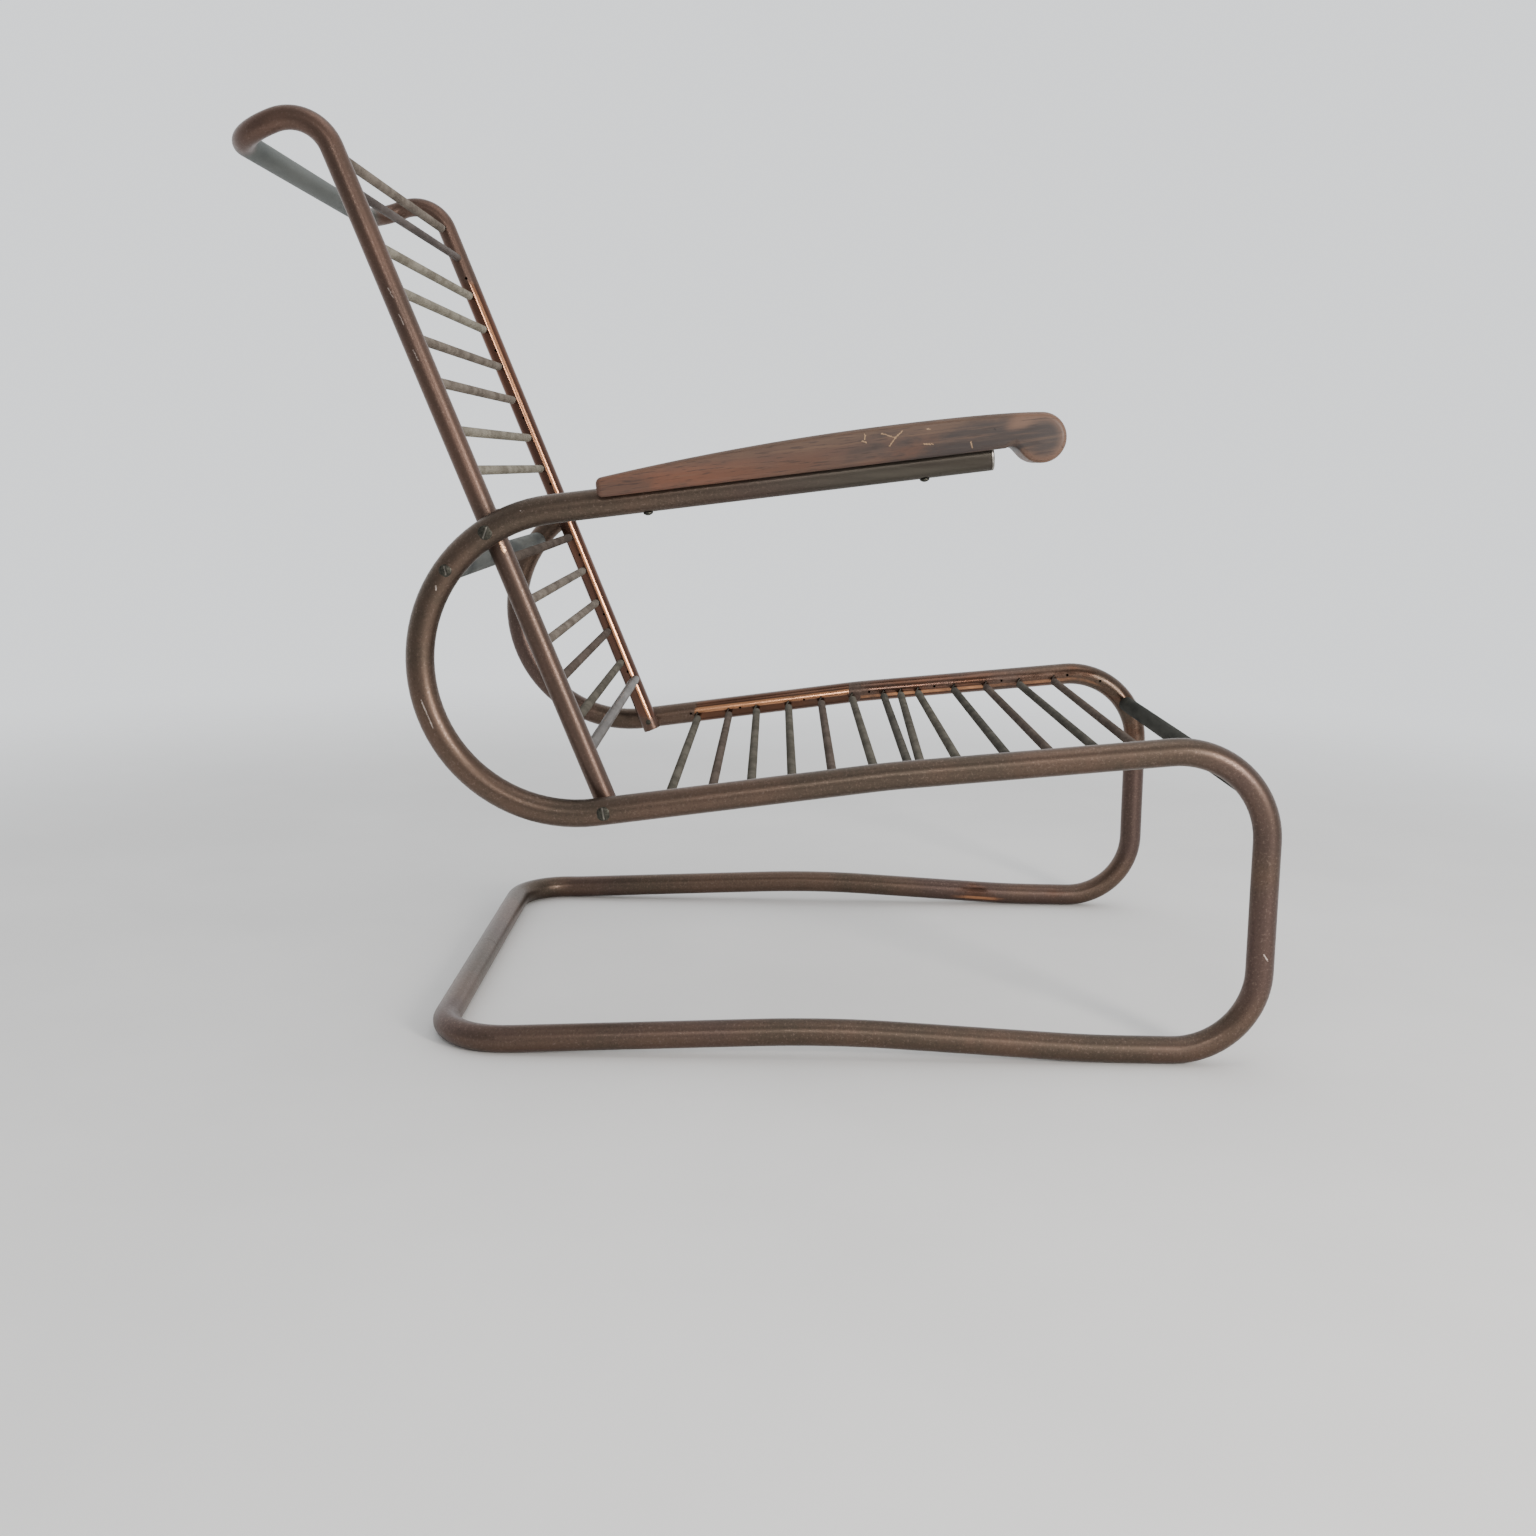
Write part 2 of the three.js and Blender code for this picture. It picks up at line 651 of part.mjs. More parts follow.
const twoDigits = (number) => String(number).padStart(2, '0');

seatSpringShares.left.forEach((share, index) => {
  const hooks = [seatRowPoint(share), seatRowPoint(seatSpringShares.right[index])];
  const piece = spring(hooks, frameHalfSpacing, frameFace, frameBoreFace, leftOf(frontRail), seatSpringDrop);
  addPiece(`seat_spring_${twoDigits(index + 1)}`, piece, springSteel);
});

backSpringShares.forEach((share, index) => {
  const hooks = [backRowPoint(share), backRowPoint(share)];
  const piece = spring(hooks, backHalfSpacing, backFace, backBoreFace, backFront, backSpringDrop);
  addPiece(`back_spring_${twoDigits(index + 1)}`, piece, springSteel);
});

console.log(`least gap of a spring's wire to itself ${Math.min(...curlGaps).toFixed(2)} mm`);

// Wooden arm: a long crowned profile that ends in a scrolled nose, grooved over the tube
function armrestOutline() {
  const nose = (angle) => step(flat(armrestNoseReach, armrestNoseHeight), along(angle), armrestNoseRadius);
  const noseStart = nose(armrestNoseSweepStart);
  const rearTurn = -armrestRearBack * (1 - rearCurveShare);
  const frontTurnReach = noseStart.x * frontCurveShare;
  const below = armrestSeamHeight - armrestEdgeRadius;
  const outline = new THREE.Shape();
  outline.moveTo(-armrestRearBack, below);
  outline.lineTo(armrestSeamReach, below);
  outline.lineTo(armrestSeamReach, armrestSeamHeight);
  outline.lineTo(armrestNotchReach, armrestNotchHeight);
  const arcSteps = 8;
  for (let count = 0; count <= arcSteps; count += 1) {
    const share = count / arcSteps;
    const angle = armrestNoseSweepEnd + (armrestNoseSweepStart - armrestNoseSweepEnd) * share;
    const point = nose(angle);
    outline.lineTo(point.x, point.y);
  }
  outline.quadraticCurveTo(frontTurnReach, armrestCrownHeight, 0, armrestCrownHeight);
  outline.quadraticCurveTo(rearTurn, armrestCrownHeight, -armrestRearBack, armrestRearHeight);
  outline.closePath();
  return outline;
}

function armrest(sign) {
  const depth = armrestWidth - 2 * armrestEdgeRadius;
  const curveSteps = 5;
  const edgeSteps = 2;
  const geometry = new THREE.ExtrudeGeometry(armrestOutline(), {
    depth,
    curveSegments: curveSteps,
    bevelThickness: armrestEdgeRadius,
    bevelSize: armrestEdgeRadius,
    bevelOffset: -armrestEdgeRadius,
    bevelSegments: edgeSteps,
  });
  geometry.translate(0, 0, -depth / 2);
  const placing = new THREE.Matrix4();
  placing.makeBasis(lift(armLine, 0), lift(leftOf(armLine), 0), acrossY.clone().negate());
  placing.setPosition(lift(armOrigin, sign * frameHalfSpacing));
  let wood = solid(geometry.applyMatrix4(placing));
  wood = wood.subtract(frameEnvelope(sign));
  const tubeEnd = lift(step(armTubeEnd, armLine, -overrun), sign * frameHalfSpacing);
  const grooveEnd = lift(step(armTubeEnd, armLine, plugDomeHeight + 2 * seatGap), sign * frameHalfSpacing);
  wood = wood.subtract(drill(tubeEnd, grooveEnd, frameRadius + seatGap, frameSides));
  for (const { reach } of armScrewPlaces) {
    const mouth = lift(armPoint(reach, 0), sign * frameHalfSpacing);
    const bottom = lift(armPoint(reach, armScrewDepth + screwClearance), sign * frameHalfSpacing);
    wood = wood.subtract(drill(mouth, bottom, armScrewDiameter / 2 + screwClearance, screwSides));
  }
  return wood;
}

for (const { name, sign } of chairSides) addPiece(`armrest_${name}`, armrest(sign), wornWood);

// Screw and bolt heads: a low dome over a short rim, with one straight slot
function headedScrew(at, direction, shankLength, { shankDiameter, headDiameter, headHeight, around }) {
  const rim = headHeight * headRimShare;
  const crown = headDiameter / 2 * headCrownShare;
  const profile = [
    [0, -shankLength],
    [shankDiameter / 2, -shankLength],
    [shankDiameter / 2, 0],
    [headDiameter / 2, 0],
    [headDiameter / 2, rim],
    [crown, headHeight],
    [0, headHeight],
  ];
  return turned(profile, around, at, direction);
}

const backBoltSizes = {
  shankDiameter: backBoltDiameter,
  headDiameter: backBoltHeadDiameter,
  headHeight: backBoltHeadHeight,
  around: headSides,
};
const braceScrewSizes = {
  shankDiameter: braceScrewDiameter,
  headDiameter: braceScrewHeadDiameter,
  headHeight: braceScrewHeadHeight,
  around: headSides,
};
const armScrewSizes = {
  shankDiameter: armScrewDiameter,
  headDiameter: armScrewHeadDiameter,
  headHeight: armScrewHeadHeight,
  around: screwSides,
};

// The slot across a head that faces out along Y, tilted a little from upright
function headSlot(at, direction, { headDiameter, headHeight }) {
  const slot = new THREE.BoxGeometry(headDiameter + overrun, slotDepth * 2, slotWidth);
  slot.rotateY(slotUpright);
  slot.translate(0, headHeight, 0);
  slot.applyQuaternion(new THREE.Quaternion().setFromUnitVectors(acrossY, direction));
  return solid(slot.translate(at.x, at.y, at.z));
}

const boltPlaces = [
  { name: 'lower', point: lowerBolt },
  { name: 'upper', point: upperBolt },
];

// Saddle washer between the side frame and an upright, shaped to both tubes
function spacer(point, sign) {
  const from = lift(point, sign * backHalfSpacing);
  const to = lift(point, sign * frameHalfSpacing);
  const disc = bar(from, to, spacerDiameter / 2, screwSides);
  const shaped = disc.subtract(frameEnvelope(sign)).subtract(backEnvelope());
  return shaped.subtract(drill(from, to, backBoltDiameter / 2 + screwClearance, screwSides));
}

function backBolt(point, sign) {
  const seat = frameHalfSpacing + frameFace - headSeatDepth + seatGap;
  const tip = backHalfSpacing - backFace + nutSeatDepth - seatGap - nutHeight;
  const direction = new THREE.Vector3(0, sign, 0);
  const at = lift(point, sign * seat);
  const bolt = headedScrew(at, direction, seat - tip, backBoltSizes);
  return bolt.subtract(headSlot(at, direction, backBoltSizes));
}

function backNut(point, sign) {
  const outer = backHalfSpacing - backFace + nutSeatDepth - seatGap;
  const from = lift(point, sign * outer);
  const to = lift(point, sign * (outer - nutHeight));
  const hole = drill(
    lift(point, sign * (outer + overrun)),
    lift(point, sign * (outer - nutHeight - overrun)),
    backBoltDiameter / 2 + screwClearance,
    screwSides,
  );
  return bar(from, to, nutDiameter / 2, screwSides).subtract(hole);
}

function braceScrew(sign) {
  const seat = frameHalfSpacing + frameFace - headSeatDepth + seatGap;
  const tip = frameHalfSpacing - frameFace - braceThreadDepth + seatGap;
  const direction = new THREE.Vector3(0, sign, 0);
  const at = lift(bracePoint, sign * seat);
  const screw = headedScrew(at, direction, seat - tip, braceScrewSizes);
  return screw.subtract(headSlot(at, direction, braceScrewSizes));
}

function armScrew(reach, sign) {
  const at = lift(armPoint(reach, armScrewHeadSeat), sign * frameHalfSpacing);
  const direction = lift(leftOf(armLine), 0).negate();
  return headedScrew(at, direction, armScrewDepth - armScrewHeadSeat, armScrewSizes);
}

// Plug in the open end of an arm tube: a spigot in the bore under a low dome
function armTubePlug(sign) {
  const end = lift(armTubeEnd, sign * frameHalfSpacing);
  const forward = lift(armLine, 0);
  const spigotRadius = frameBoreRadius - seatGap / apothemShare(frameBoreSides);
  const inside = end.clone().addScaledVector(forward, -plugDepth);
  const face = end.clone().addScaledVector(forward, seatGap + plugRimHeight / 2);
  const line = new BentLine([inside, face], [forward, forward], acrossY);
  const spigot = sweep(line, spigotRadius, frameBoreSides);
  const dome = [
    [0, 0],
    [frameRadius, 0],
    [frameRadius, plugRimHeight],
    [frameRadius * plugShoulderShare, plugDomeHeight * plugShoulderShare],
    [0, plugDomeHeight],
  ];
  const base = end.clone().addScaledVector(forward, seatGap);
  return spigot.add(turned(dome, frameSides, base, forward));
}

for (const { name, sign } of chairSides) {
  for (const { name: place, point } of boltPlaces) {
    addPiece(`back_bolt_${place}_${name}`, backBolt(point, sign), screwSteel);
    addPiece(`back_nut_${place}_${name}`, backNut(point, sign), screwSteel);
    addPiece(`back_spacer_${place}_${name}`, spacer(point, sign), screwSteel);
  }
  addPiece(`brace_screw_${name}`, braceScrew(sign), screwSteel);
  for (const { name: place, reach } of armScrewPlaces) {
    addPiece(`arm_screw_${place}_${name}`, armScrew(reach, sign), screwSteel);
  }
  addPiece(`arm_tube_plug_${name}`, armTubePlug(sign), plugSteel);
}

// The origin lies on the floor under the middle of the chair's box
const box = new THREE.Box3().setFromObject(body);
body.position.set(-(box.min.x + box.max.x) / 2, -(box.min.y + box.max.y) / 2, -box.min.z);

export default chair;
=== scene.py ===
from math import acos, ceil, cos, pi, radians, sin, sqrt, tan

import bpy
from bpy.props import FloatProperty, FloatVectorProperty, IntProperty, PointerProperty
from bpy.types import Operator, Panel, PropertyGroup
from mathutils import Matrix, Vector


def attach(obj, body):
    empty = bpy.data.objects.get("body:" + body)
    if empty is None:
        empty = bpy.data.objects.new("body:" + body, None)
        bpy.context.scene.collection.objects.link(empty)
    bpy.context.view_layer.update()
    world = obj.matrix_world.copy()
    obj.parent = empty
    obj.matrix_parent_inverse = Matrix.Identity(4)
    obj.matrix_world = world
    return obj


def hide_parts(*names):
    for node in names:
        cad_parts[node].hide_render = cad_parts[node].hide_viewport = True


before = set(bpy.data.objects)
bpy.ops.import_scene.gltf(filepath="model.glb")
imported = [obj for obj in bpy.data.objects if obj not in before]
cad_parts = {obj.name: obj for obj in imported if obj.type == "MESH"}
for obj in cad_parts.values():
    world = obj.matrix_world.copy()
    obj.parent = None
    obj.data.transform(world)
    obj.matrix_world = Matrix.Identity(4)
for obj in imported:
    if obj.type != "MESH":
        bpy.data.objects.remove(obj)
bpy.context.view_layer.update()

bl_info = {
    "name": "Cantilever Lounge Chair",
    "version": (1, 0, 0),
    "blender": (4, 5, 0),
    "location": "3D View > Sidebar > Lounge Chair",
    "description": "Models a cantilever lounge chair of bent steel tube, flat coil springs and wooden arms",
    "category": "Add Mesh",
}

SIDES = (("left", 1), ("right", -1))
BODY = "root"
ACROSS = Vector((0, 1, 0))
UPRIGHT = Vector((0, 0, 1))


def length(name, description, default):
    return FloatProperty(name=name, description=description, default=default, unit="LENGTH", precision=5)


def angle(name, description, degrees):
    return FloatProperty(name=name, description=description, default=radians(degrees), subtype="ANGLE")


def share(name, description, default):
    return FloatProperty(name=name, description=description, default=default, subtype="FACTOR")


def colour(name, description, default):
    return FloatVectorProperty(
        name=name, description=description, default=default, size=3, min=0, max=1, subtype="COLOR"
    )


class SideFrameSizes(PropertyGroup):
    tube: length("Tube diameter", "Outside diameter of the side frame tube", 0.025)
    wall: length("Tube wall", "Wall of the side frame tube", 0.0015)
    spacing: length("Plane spacing", "Distance between the planes of the two side frames", 0.535)
    kink_forward: length("Kink place", "The seat rail's kink, forward of the middle of the chair", 0.110564)
    kink_height: length("Kink height", "Height of the seat rail's axis at its kink", 0.2625)
    kink_radius: length("Kink radius", "Bend radius of the kink", 0.8)
    rear_angle: angle("Rear rail angle", "Rise of the seat rail behind the kink", 8.08)
    front_angle: angle("Front rail angle", "Rise of the seat rail before the kink", 5.88)
    loop_radius: length("Loop radius", "Bend radius of the rear loop", 0.134)
    loop_back: length("Loop place", "Centre of the rear loop, behind the kink", 0.2775)
    arm_angle: angle("Arm angle", "Rise of the arm tube", 7.71)
    arm_reach: length("Arm tube reach", "End of the arm tube, before the kink", 0.078)
    leg_reach: length("Leg place", "Corner of rail and leg, before the kink", 0.3378)
    leg_lean: angle("Leg lean", "Lean of the leg from upright", 0.86)
    front_radius: length("Front bend radius", "Bend radius between rail and leg", 0.0815)
    foot_radius: length("Foot bend radius", "Bend radius between leg and runner", 0.075)
    foot_reach: length("Front foot place", "Where the runner leaves the floor, before the kink", 0.192)
    crest_back: length("Crest place", "Highest place of the runner, behind the kink", 0.048)
    crest_rise: length("Crest rise", "Rise of the runner at its crest", 0.0129)
    tail_back: length("Rear foot place", "Where the runner comes down, behind the kink", 0.341)
    runner_radius: length("Runner radius", "Bend radius of the runner's bow", 1.3)
    tail_radius: length("Runner tail radius", "Bend radius where the runner comes down", 0.2)
    bar_back: length("Rear bar place", "Axis of the rear floor bar, behind the kink", 0.407)
    corner_radius: length("Rear corner radius", "Bend radius between runner and rear bar", 0.06)


class BackFrameSizes(PropertyGroup):
    tube: length("Tube diameter", "Outside diameter of the back frame tube", 0.02)
    wall: length("Tube wall", "Wall of the back frame tube", 0.0015)
    inset: length("Inset", "Distance of each upright's plane from its side frame's plane", 0.028)
    recline: angle("Recline", "Lean of the uprights from upright", 22.3)
    bolt_back: length("Lower bolt place", "Lower bolt, behind the kink", 0.2508)
    tail: length("Tail length", "Upright below the lower bolt", 0.0106)
    upright: length("Upright length", "Lower bolt to the head's corner", 0.6428)
    curl_angle: angle("Head angle", "Slope of the rolled head", 20.9)
    curl: length("Head length", "Length of the rolled head", 0.0746)
    head_radius: length("Head bend radius", "Bend radius of the rolled head", 0.038)
    corner_radius: length("Head corner radius", "Bend radius between head and crossbar", 0.037)
    row_start: length("Row start", "First place of the row of holes, above the lower bolt", 0.0529)
    row: length("Row length", "Length of the row of holes", 0.5538)
    lower_bar: length("Lower bar diameter", "Diameter of the thick bar at the foot of the back", 0.0106)
    lower_bar_forward: length("Lower bar place", "Lower bar's axis, before the uprights' axis", 0.0039)
    upper_rod: length("Upper rod diameter", "Diameter of the thin rod near the head", 0.008)


class CrossMemberSizes(PropertyGroup):
    front_tube: length("Front cross tube diameter", "Diameter of the cross tube in the front bends", 0.0176)
    bend_share: share("Front cross tube place", "Its place round the front bends", 0.64)
    brace: length("Brace diameter", "Diameter of the brace between the rear loops", 0.02)
    brace_angle: angle("Brace place", "Its place on the loops, up from the back", 36.4)


class SpringSizes(PropertyGroup):
    coil: length("Coil diameter", "Outside diameter of a spring", 0.009)
    wire: length("Wire diameter", "Diameter of the wound wire", 0.0014)
    end_gap: length("End gap", "Last touching turn to the tube", 0.0042)
    curl_gap: length("Curl gap", "Room beside the open curl", 0.0005)
    wire_bend: length("Wire bend radius", "Bend radius of the hook", 0.0009)
    hook_rise: length("Hook rise", "Length of the hook behind the wall", 0.0028)
    hole: length("Hole diameter", "Hook holes and spare holes", 0.003)
    seat_drop: length("Seat spring drop", "Seat springs' axes below their holes", 0.0066)
    back_drop: length("Back spring drop", "Back springs' axes behind their holes", 0.0039)
    row_back: length("Seat row place", "First seat spring, behind the kink", 0.1936)
    row: length("Seat row length", "First to last seat spring", 0.4283)
    turn_steps: IntProperty(name="Turn steps", description="Steps of one turn", default=12, min=6)
    wire_sides: IntProperty(name="Wire sides", description="Sides of the wire", default=5, min=4)


class StudioSettings(PropertyGroup):
    lens: FloatProperty(name="Lens", description="Focal length for a 36 mm sensor", default=37.395)
    camera_place: FloatVectorProperty(
        name="Camera place",
        description="Where the camera stands",
        default=(0.006693, -1.65181, 0.532588),
        subtype="TRANSLATION",
    )
    camera_yaw: angle("Camera yaw", "Turn of the camera about the upright axis", -0.09699)
    camera_pitch: angle("Camera pitch", "Slope of the camera's view", -10.8091)
    camera_roll: angle("Camera roll", "Turn of the camera about its view", 0.91546)
    floor_radius: length("Floor radius", "Radius at which the plain floor has faded away", 2.4)
    floor_colour: colour("Floor colour", "Pale floor", (0.86, 0.85, 0.835))
    window_power: FloatProperty(name="Window light", description="Power of the tall side light", default=50)
    front_power: FloatProperty(name="Front light", description="Power of the light over the camera", default=10)
    low_power: FloatProperty(name="Low light", description="Power of the wide light near the floor", default=3)
    ceiling_power: FloatProperty(name="Ceiling light", description="Power of the light from above", default=12)
    wall_power: FloatProperty(name="Wall brightness", description="Soft light from behind the chair", default=1.35)
    room_power: FloatProperty(name="Room brightness", description="Soft light from before the chair", default=0.45)


# Places of holes as shares of their rows; the seat springs hang a little askew, so each rail has its own
SEAT_SPRINGS = {
    "left": (0, 0.088, 0.1655, 0.2555, 0.348, 0.435, 0.524, 0.572, 0.62, 0.7205, 0.81, 0.903, 1),
    "right": (-0.013, 0.08, 0.166, 0.255, 0.3415, 0.433, 0.5055, 0.528, 0.615, 0.724, 0.818, 0.917, 0.998),
}
SEAT_SPARES = {
    "left": (-0.018, 0.1205, 0.3005, 0.483, 0.666, 0.854, 1.038, 1.131),
    "right": (0.1205, 0.3005, 0.483, 0.666, 0.854, 1.038, 1.131),
}
BACK_SPRINGS = (
    0.045, 0.1168, 0.1826, 0.2553, 0.3303, 0.4072, 0.4837, 0.5516, 0.6342, 0.7064, 0.7864, 0.8579, 1,
)
BACK_SPARES = (0.0217, 0.1542, 0.2887, 0.4475, 0.5926, 0.7391, 0.893)
UPPER_ROD = 0.9364


# Points of the side view are (x, z) pairs measured from the kink in the seat rail
def along(turn):
    return Vector((cos(turn), sin(turn)))


def left_of(direction):
    return Vector((-direction.y, direction.x))


class SideView:
    """Places of tubes, holes and screws seen from the side, worked out from the sizes."""

    def __init__(self, scene):
        side, back, cross = scene.chair_side_frame, scene.chair_back_frame, scene.chair_cross_members
        self.side, self.back, self.cross, self.springs = side, back, cross, scene.chair_springs
        self.half = side.spacing / 2
        self.back_half = self.half - back.inset
        self.floor = side.tube / 2
        self.kink = Vector((0, side.kink_height))
        self.rear_rail, self.front_rail = along(side.rear_angle), along(side.front_angle)
        self.arm = along(side.arm_angle)
        leg = along(-pi / 2 + side.leg_lean)
        radius = side.loop_radius
        foot = (side.loop_back - radius * self.rear_rail.y) / self.rear_rail.x
        self.loop = self.kink - self.rear_rail * foot + left_of(self.rear_rail) * radius
        self.loop_top = self.loop + left_of(self.arm) * radius
        self.arm_end = self.loop_top + self.arm * ((side.arm_reach - self.loop_top.x) / self.arm.x)
        self.arm_origin = self.loop_top - self.arm * (self.loop_top.x / self.arm.x)
        self.front_corner = self.kink + self.front_rail * (side.leg_reach / self.front_rail.x)
        self.foot_corner = self.front_corner + leg * ((self.front_corner.y - self.floor) / -leg.y)
        turn = side.front_angle + pi / 2 - side.leg_lean
        self.bend_start = self.front_corner - self.front_rail * side.front_radius * tan(turn / 2)
        self.bend_centre = self.bend_start - left_of(self.front_rail) * side.front_radius
        cross_turn = side.front_angle + pi / 2 - cross.bend_share * turn
        self.cross_tube = self.bend_centre + along(cross_turn) * side.front_radius
        self.brace = self.loop + along(pi - cross.brace_angle) * radius
        self.up = along(pi / 2 + back.recline)
        self.ahead = -left_of(self.up)
        self.lower_bolt = self.rail(-back.bolt_back)
        to_loop = self.loop - self.lower_bolt
        chord = sqrt(radius ** 2 - to_loop.dot(self.ahead) ** 2)
        self.upper_bolt = self.lower_bolt + self.up * (to_loop.dot(self.up) + chord)
        self.head_corner = self.lower_bolt + self.up * back.upright
        self.head_end = self.head_corner + along(pi + back.curl_angle) * back.curl
        self.head_turn = pi / 2 + back.curl_angle - back.recline
        self.lower_bar = self.on_back(0) + self.ahead * back.lower_bar_forward
        self.upper_rod = self.on_back(UPPER_ROD)

    def rail(self, x):
        """Axis of the seat rail at a place along it, round the front bend at its end."""
        side = self.side
        if x < 0:
            return Vector((x, side.kink_height + x * self.rear_rail.y / self.rear_rail.x))
        if x <= self.bend_start.x:
            return Vector((x, side.kink_height + x * self.front_rail.y / self.front_rail.x))
        out = min(x - self.bend_centre.x, side.front_radius)
        return Vector((x, self.bend_centre.y + sqrt(side.front_radius ** 2 - out ** 2)))

    def on_seat(self, place):
        return self.rail(place * self.springs.row - self.springs.row_back)

    def on_back(self, place):
        """Axis of an upright at a share of its row of holes, round the bend at its top."""
        back = self.back
        distance = back.row_start + place * back.row
        straight = back.upright - back.head_radius * tan(self.head_turn / 2)
        if distance <= straight:
            return self.lower_bolt + self.up * distance
        turn = min((distance - straight) / back.head_radius, self.head_turn)
        start = self.lower_bolt + self.up * straight
        return start + self.up * back.head_radius * sin(turn) - self.ahead * back.head_radius * (1 - cos(turn))

    def on_arm(self, reach, height):
        return self.arm_origin + self.arm * reach + left_of(self.arm) * height

    def place(self, point, y):
        """A side view point, lifted to a plane across the chair."""
        return Vector((point.x + self.side.kink_forward, y, point.y))

    def direction(self, vector):
        return Vector((vector.x, 0, vector.y))


# Ways of working
def deselect_all():
    bpy.ops.object.select_all(action="DESELECT")


def select_only(*objects):
    deselect_all()
    for piece in objects:
        piece.select_set(True)
    bpy.context.view_layer.objects.active = objects[0]


def edit(piece):
    select_only(piece)
    bpy.ops.object.mode_set(mode="EDIT")
    bpy.ops.mesh.select_all(action="SELECT")


def leave_edit():
    bpy.ops.object.mode_set(mode="OBJECT")


def settle():
    """The active object's place goes into its mesh."""
    bpy.ops.object.transform_apply(location=True, rotation=True, scale=True)
    return bpy.context.object


def facing(direction):
    """Turn of a primitive so that its axis points along a direction."""
    return direction.to_track_quat("Z", "Y").to_euler()


def ring(name, radius, sides, at, direction):
    """A ring of edges across a direction, in edit mode with all of it selected."""
    deselect_all()
    bpy.ops.mesh.primitive_circle_add(vertices=sides, radius=radius, location=at, rotation=facing(direction))
    piece = settle()
    piece.name = name
    edit(piece)
    return piece


def rod(radius, sides, start, end):
    deselect_all()
    bpy.ops.mesh.primitive_cylinder_add(
        vertices=sides,
        radius=radius,
        depth=(end - start).length,
        location=(start + end) / 2,
        rotation=facing(end - start),
    )
    return settle()


def push(vector, pitch):
    """Pushes the selected ring straight on, in steps no longer than the pitch."""
    steps = max(1, ceil(vector.length / pitch))
    for _ in range(steps):
        bpy.ops.mesh.extrude_region_move(TRANSFORM_OT_translate={"value": vector / steps})


def follow(corners, straight, pitch, bend_step):
    """Takes the selected ring along corners, each with its bend radius, as a pipe bender does."""
    here = corners[0][0]
    heading = (corners[1][0] - here).normalized()
    for (corner, radius), (after, _) in zip(corners[1:-1], corners[2:]):
        out = (after - corner).normalized()
        turn = heading.angle(out)
        start = corner - heading * radius * tan(turn / 2)
        if (start - here).length > pitch / 1000:
            push(start - here, straight)
        inward = (out - heading * heading.dot(out)).normalized()
        bpy.ops.mesh.spin(
            steps=max(ceil(turn / bend_step), ceil(turn * radius / pitch)),
            angle=turn,
            center=start + inward * radius,
            axis=inward.cross(heading),
        )
        here = corner + out * radius * tan(turn / 2)
        heading = out
    if (corners[-1][0] - here).length > pitch / 1000:
        push(corners[-1][0] - here, straight)


def tidy(merge):
    """Merges doubles and turns the faces outwards, in edit mode."""
    bpy.ops.mesh.select_all(action="SELECT")
    bpy.ops.mesh.remove_doubles(threshold=merge)
    bpy.ops.mesh.normals_make_consistent(inside=False)


def close_ends():
    bpy.ops.mesh.select_all(action="DESELECT")
    bpy.ops.mesh.select_mode(type="EDGE")
    bpy.ops.mesh.select_non_manifold()
    bpy.ops.mesh.fill_holes(sides=0)
    bpy.ops.mesh.select_mode(type="VERT")


def apply_modifier(piece, kind, **settings):
    select_only(piece)
    modifier = piece.modifiers.new(kind.title(), kind)
    for name, value in settings.items():
        setattr(modifier, name, value)
    bpy.ops.object.modifier_apply(modifier=modifier.name)


def cut(piece, cutters):
    """Cuts the joined cutters out of a piece and removes them."""
    select_only(*cutters)
    if len(cutters) > 1:
        bpy.ops.object.join()
    tool = bpy.context.object
    apply_modifier(piece, "BOOLEAN", object=tool, operation="DIFFERENCE", solver="EXACT")
    bpy.data.objects.remove(tool)


def smooth(piece, degrees=35):
    select_only(piece)
    bpy.ops.object.shade_smooth_by_angle(angle=radians(degrees))


def another(piece, name, placing):
    """A copy of a modelled piece with its own mesh, placed and settled."""
    select_only(piece)
    bpy.ops.object.duplicate(linked=False)
    copy = bpy.context.object
    copy.name = name
    copy.matrix_world = placing
    return settle()


def hand_over(piece, finish, slot, *nodes):
    """The finished piece gets its material, rides with the chair and stands for its CAD nodes."""
    piece.data.materials.clear()
    piece.data.materials.append(finish)
    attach(piece, BODY)
    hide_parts(*nodes)


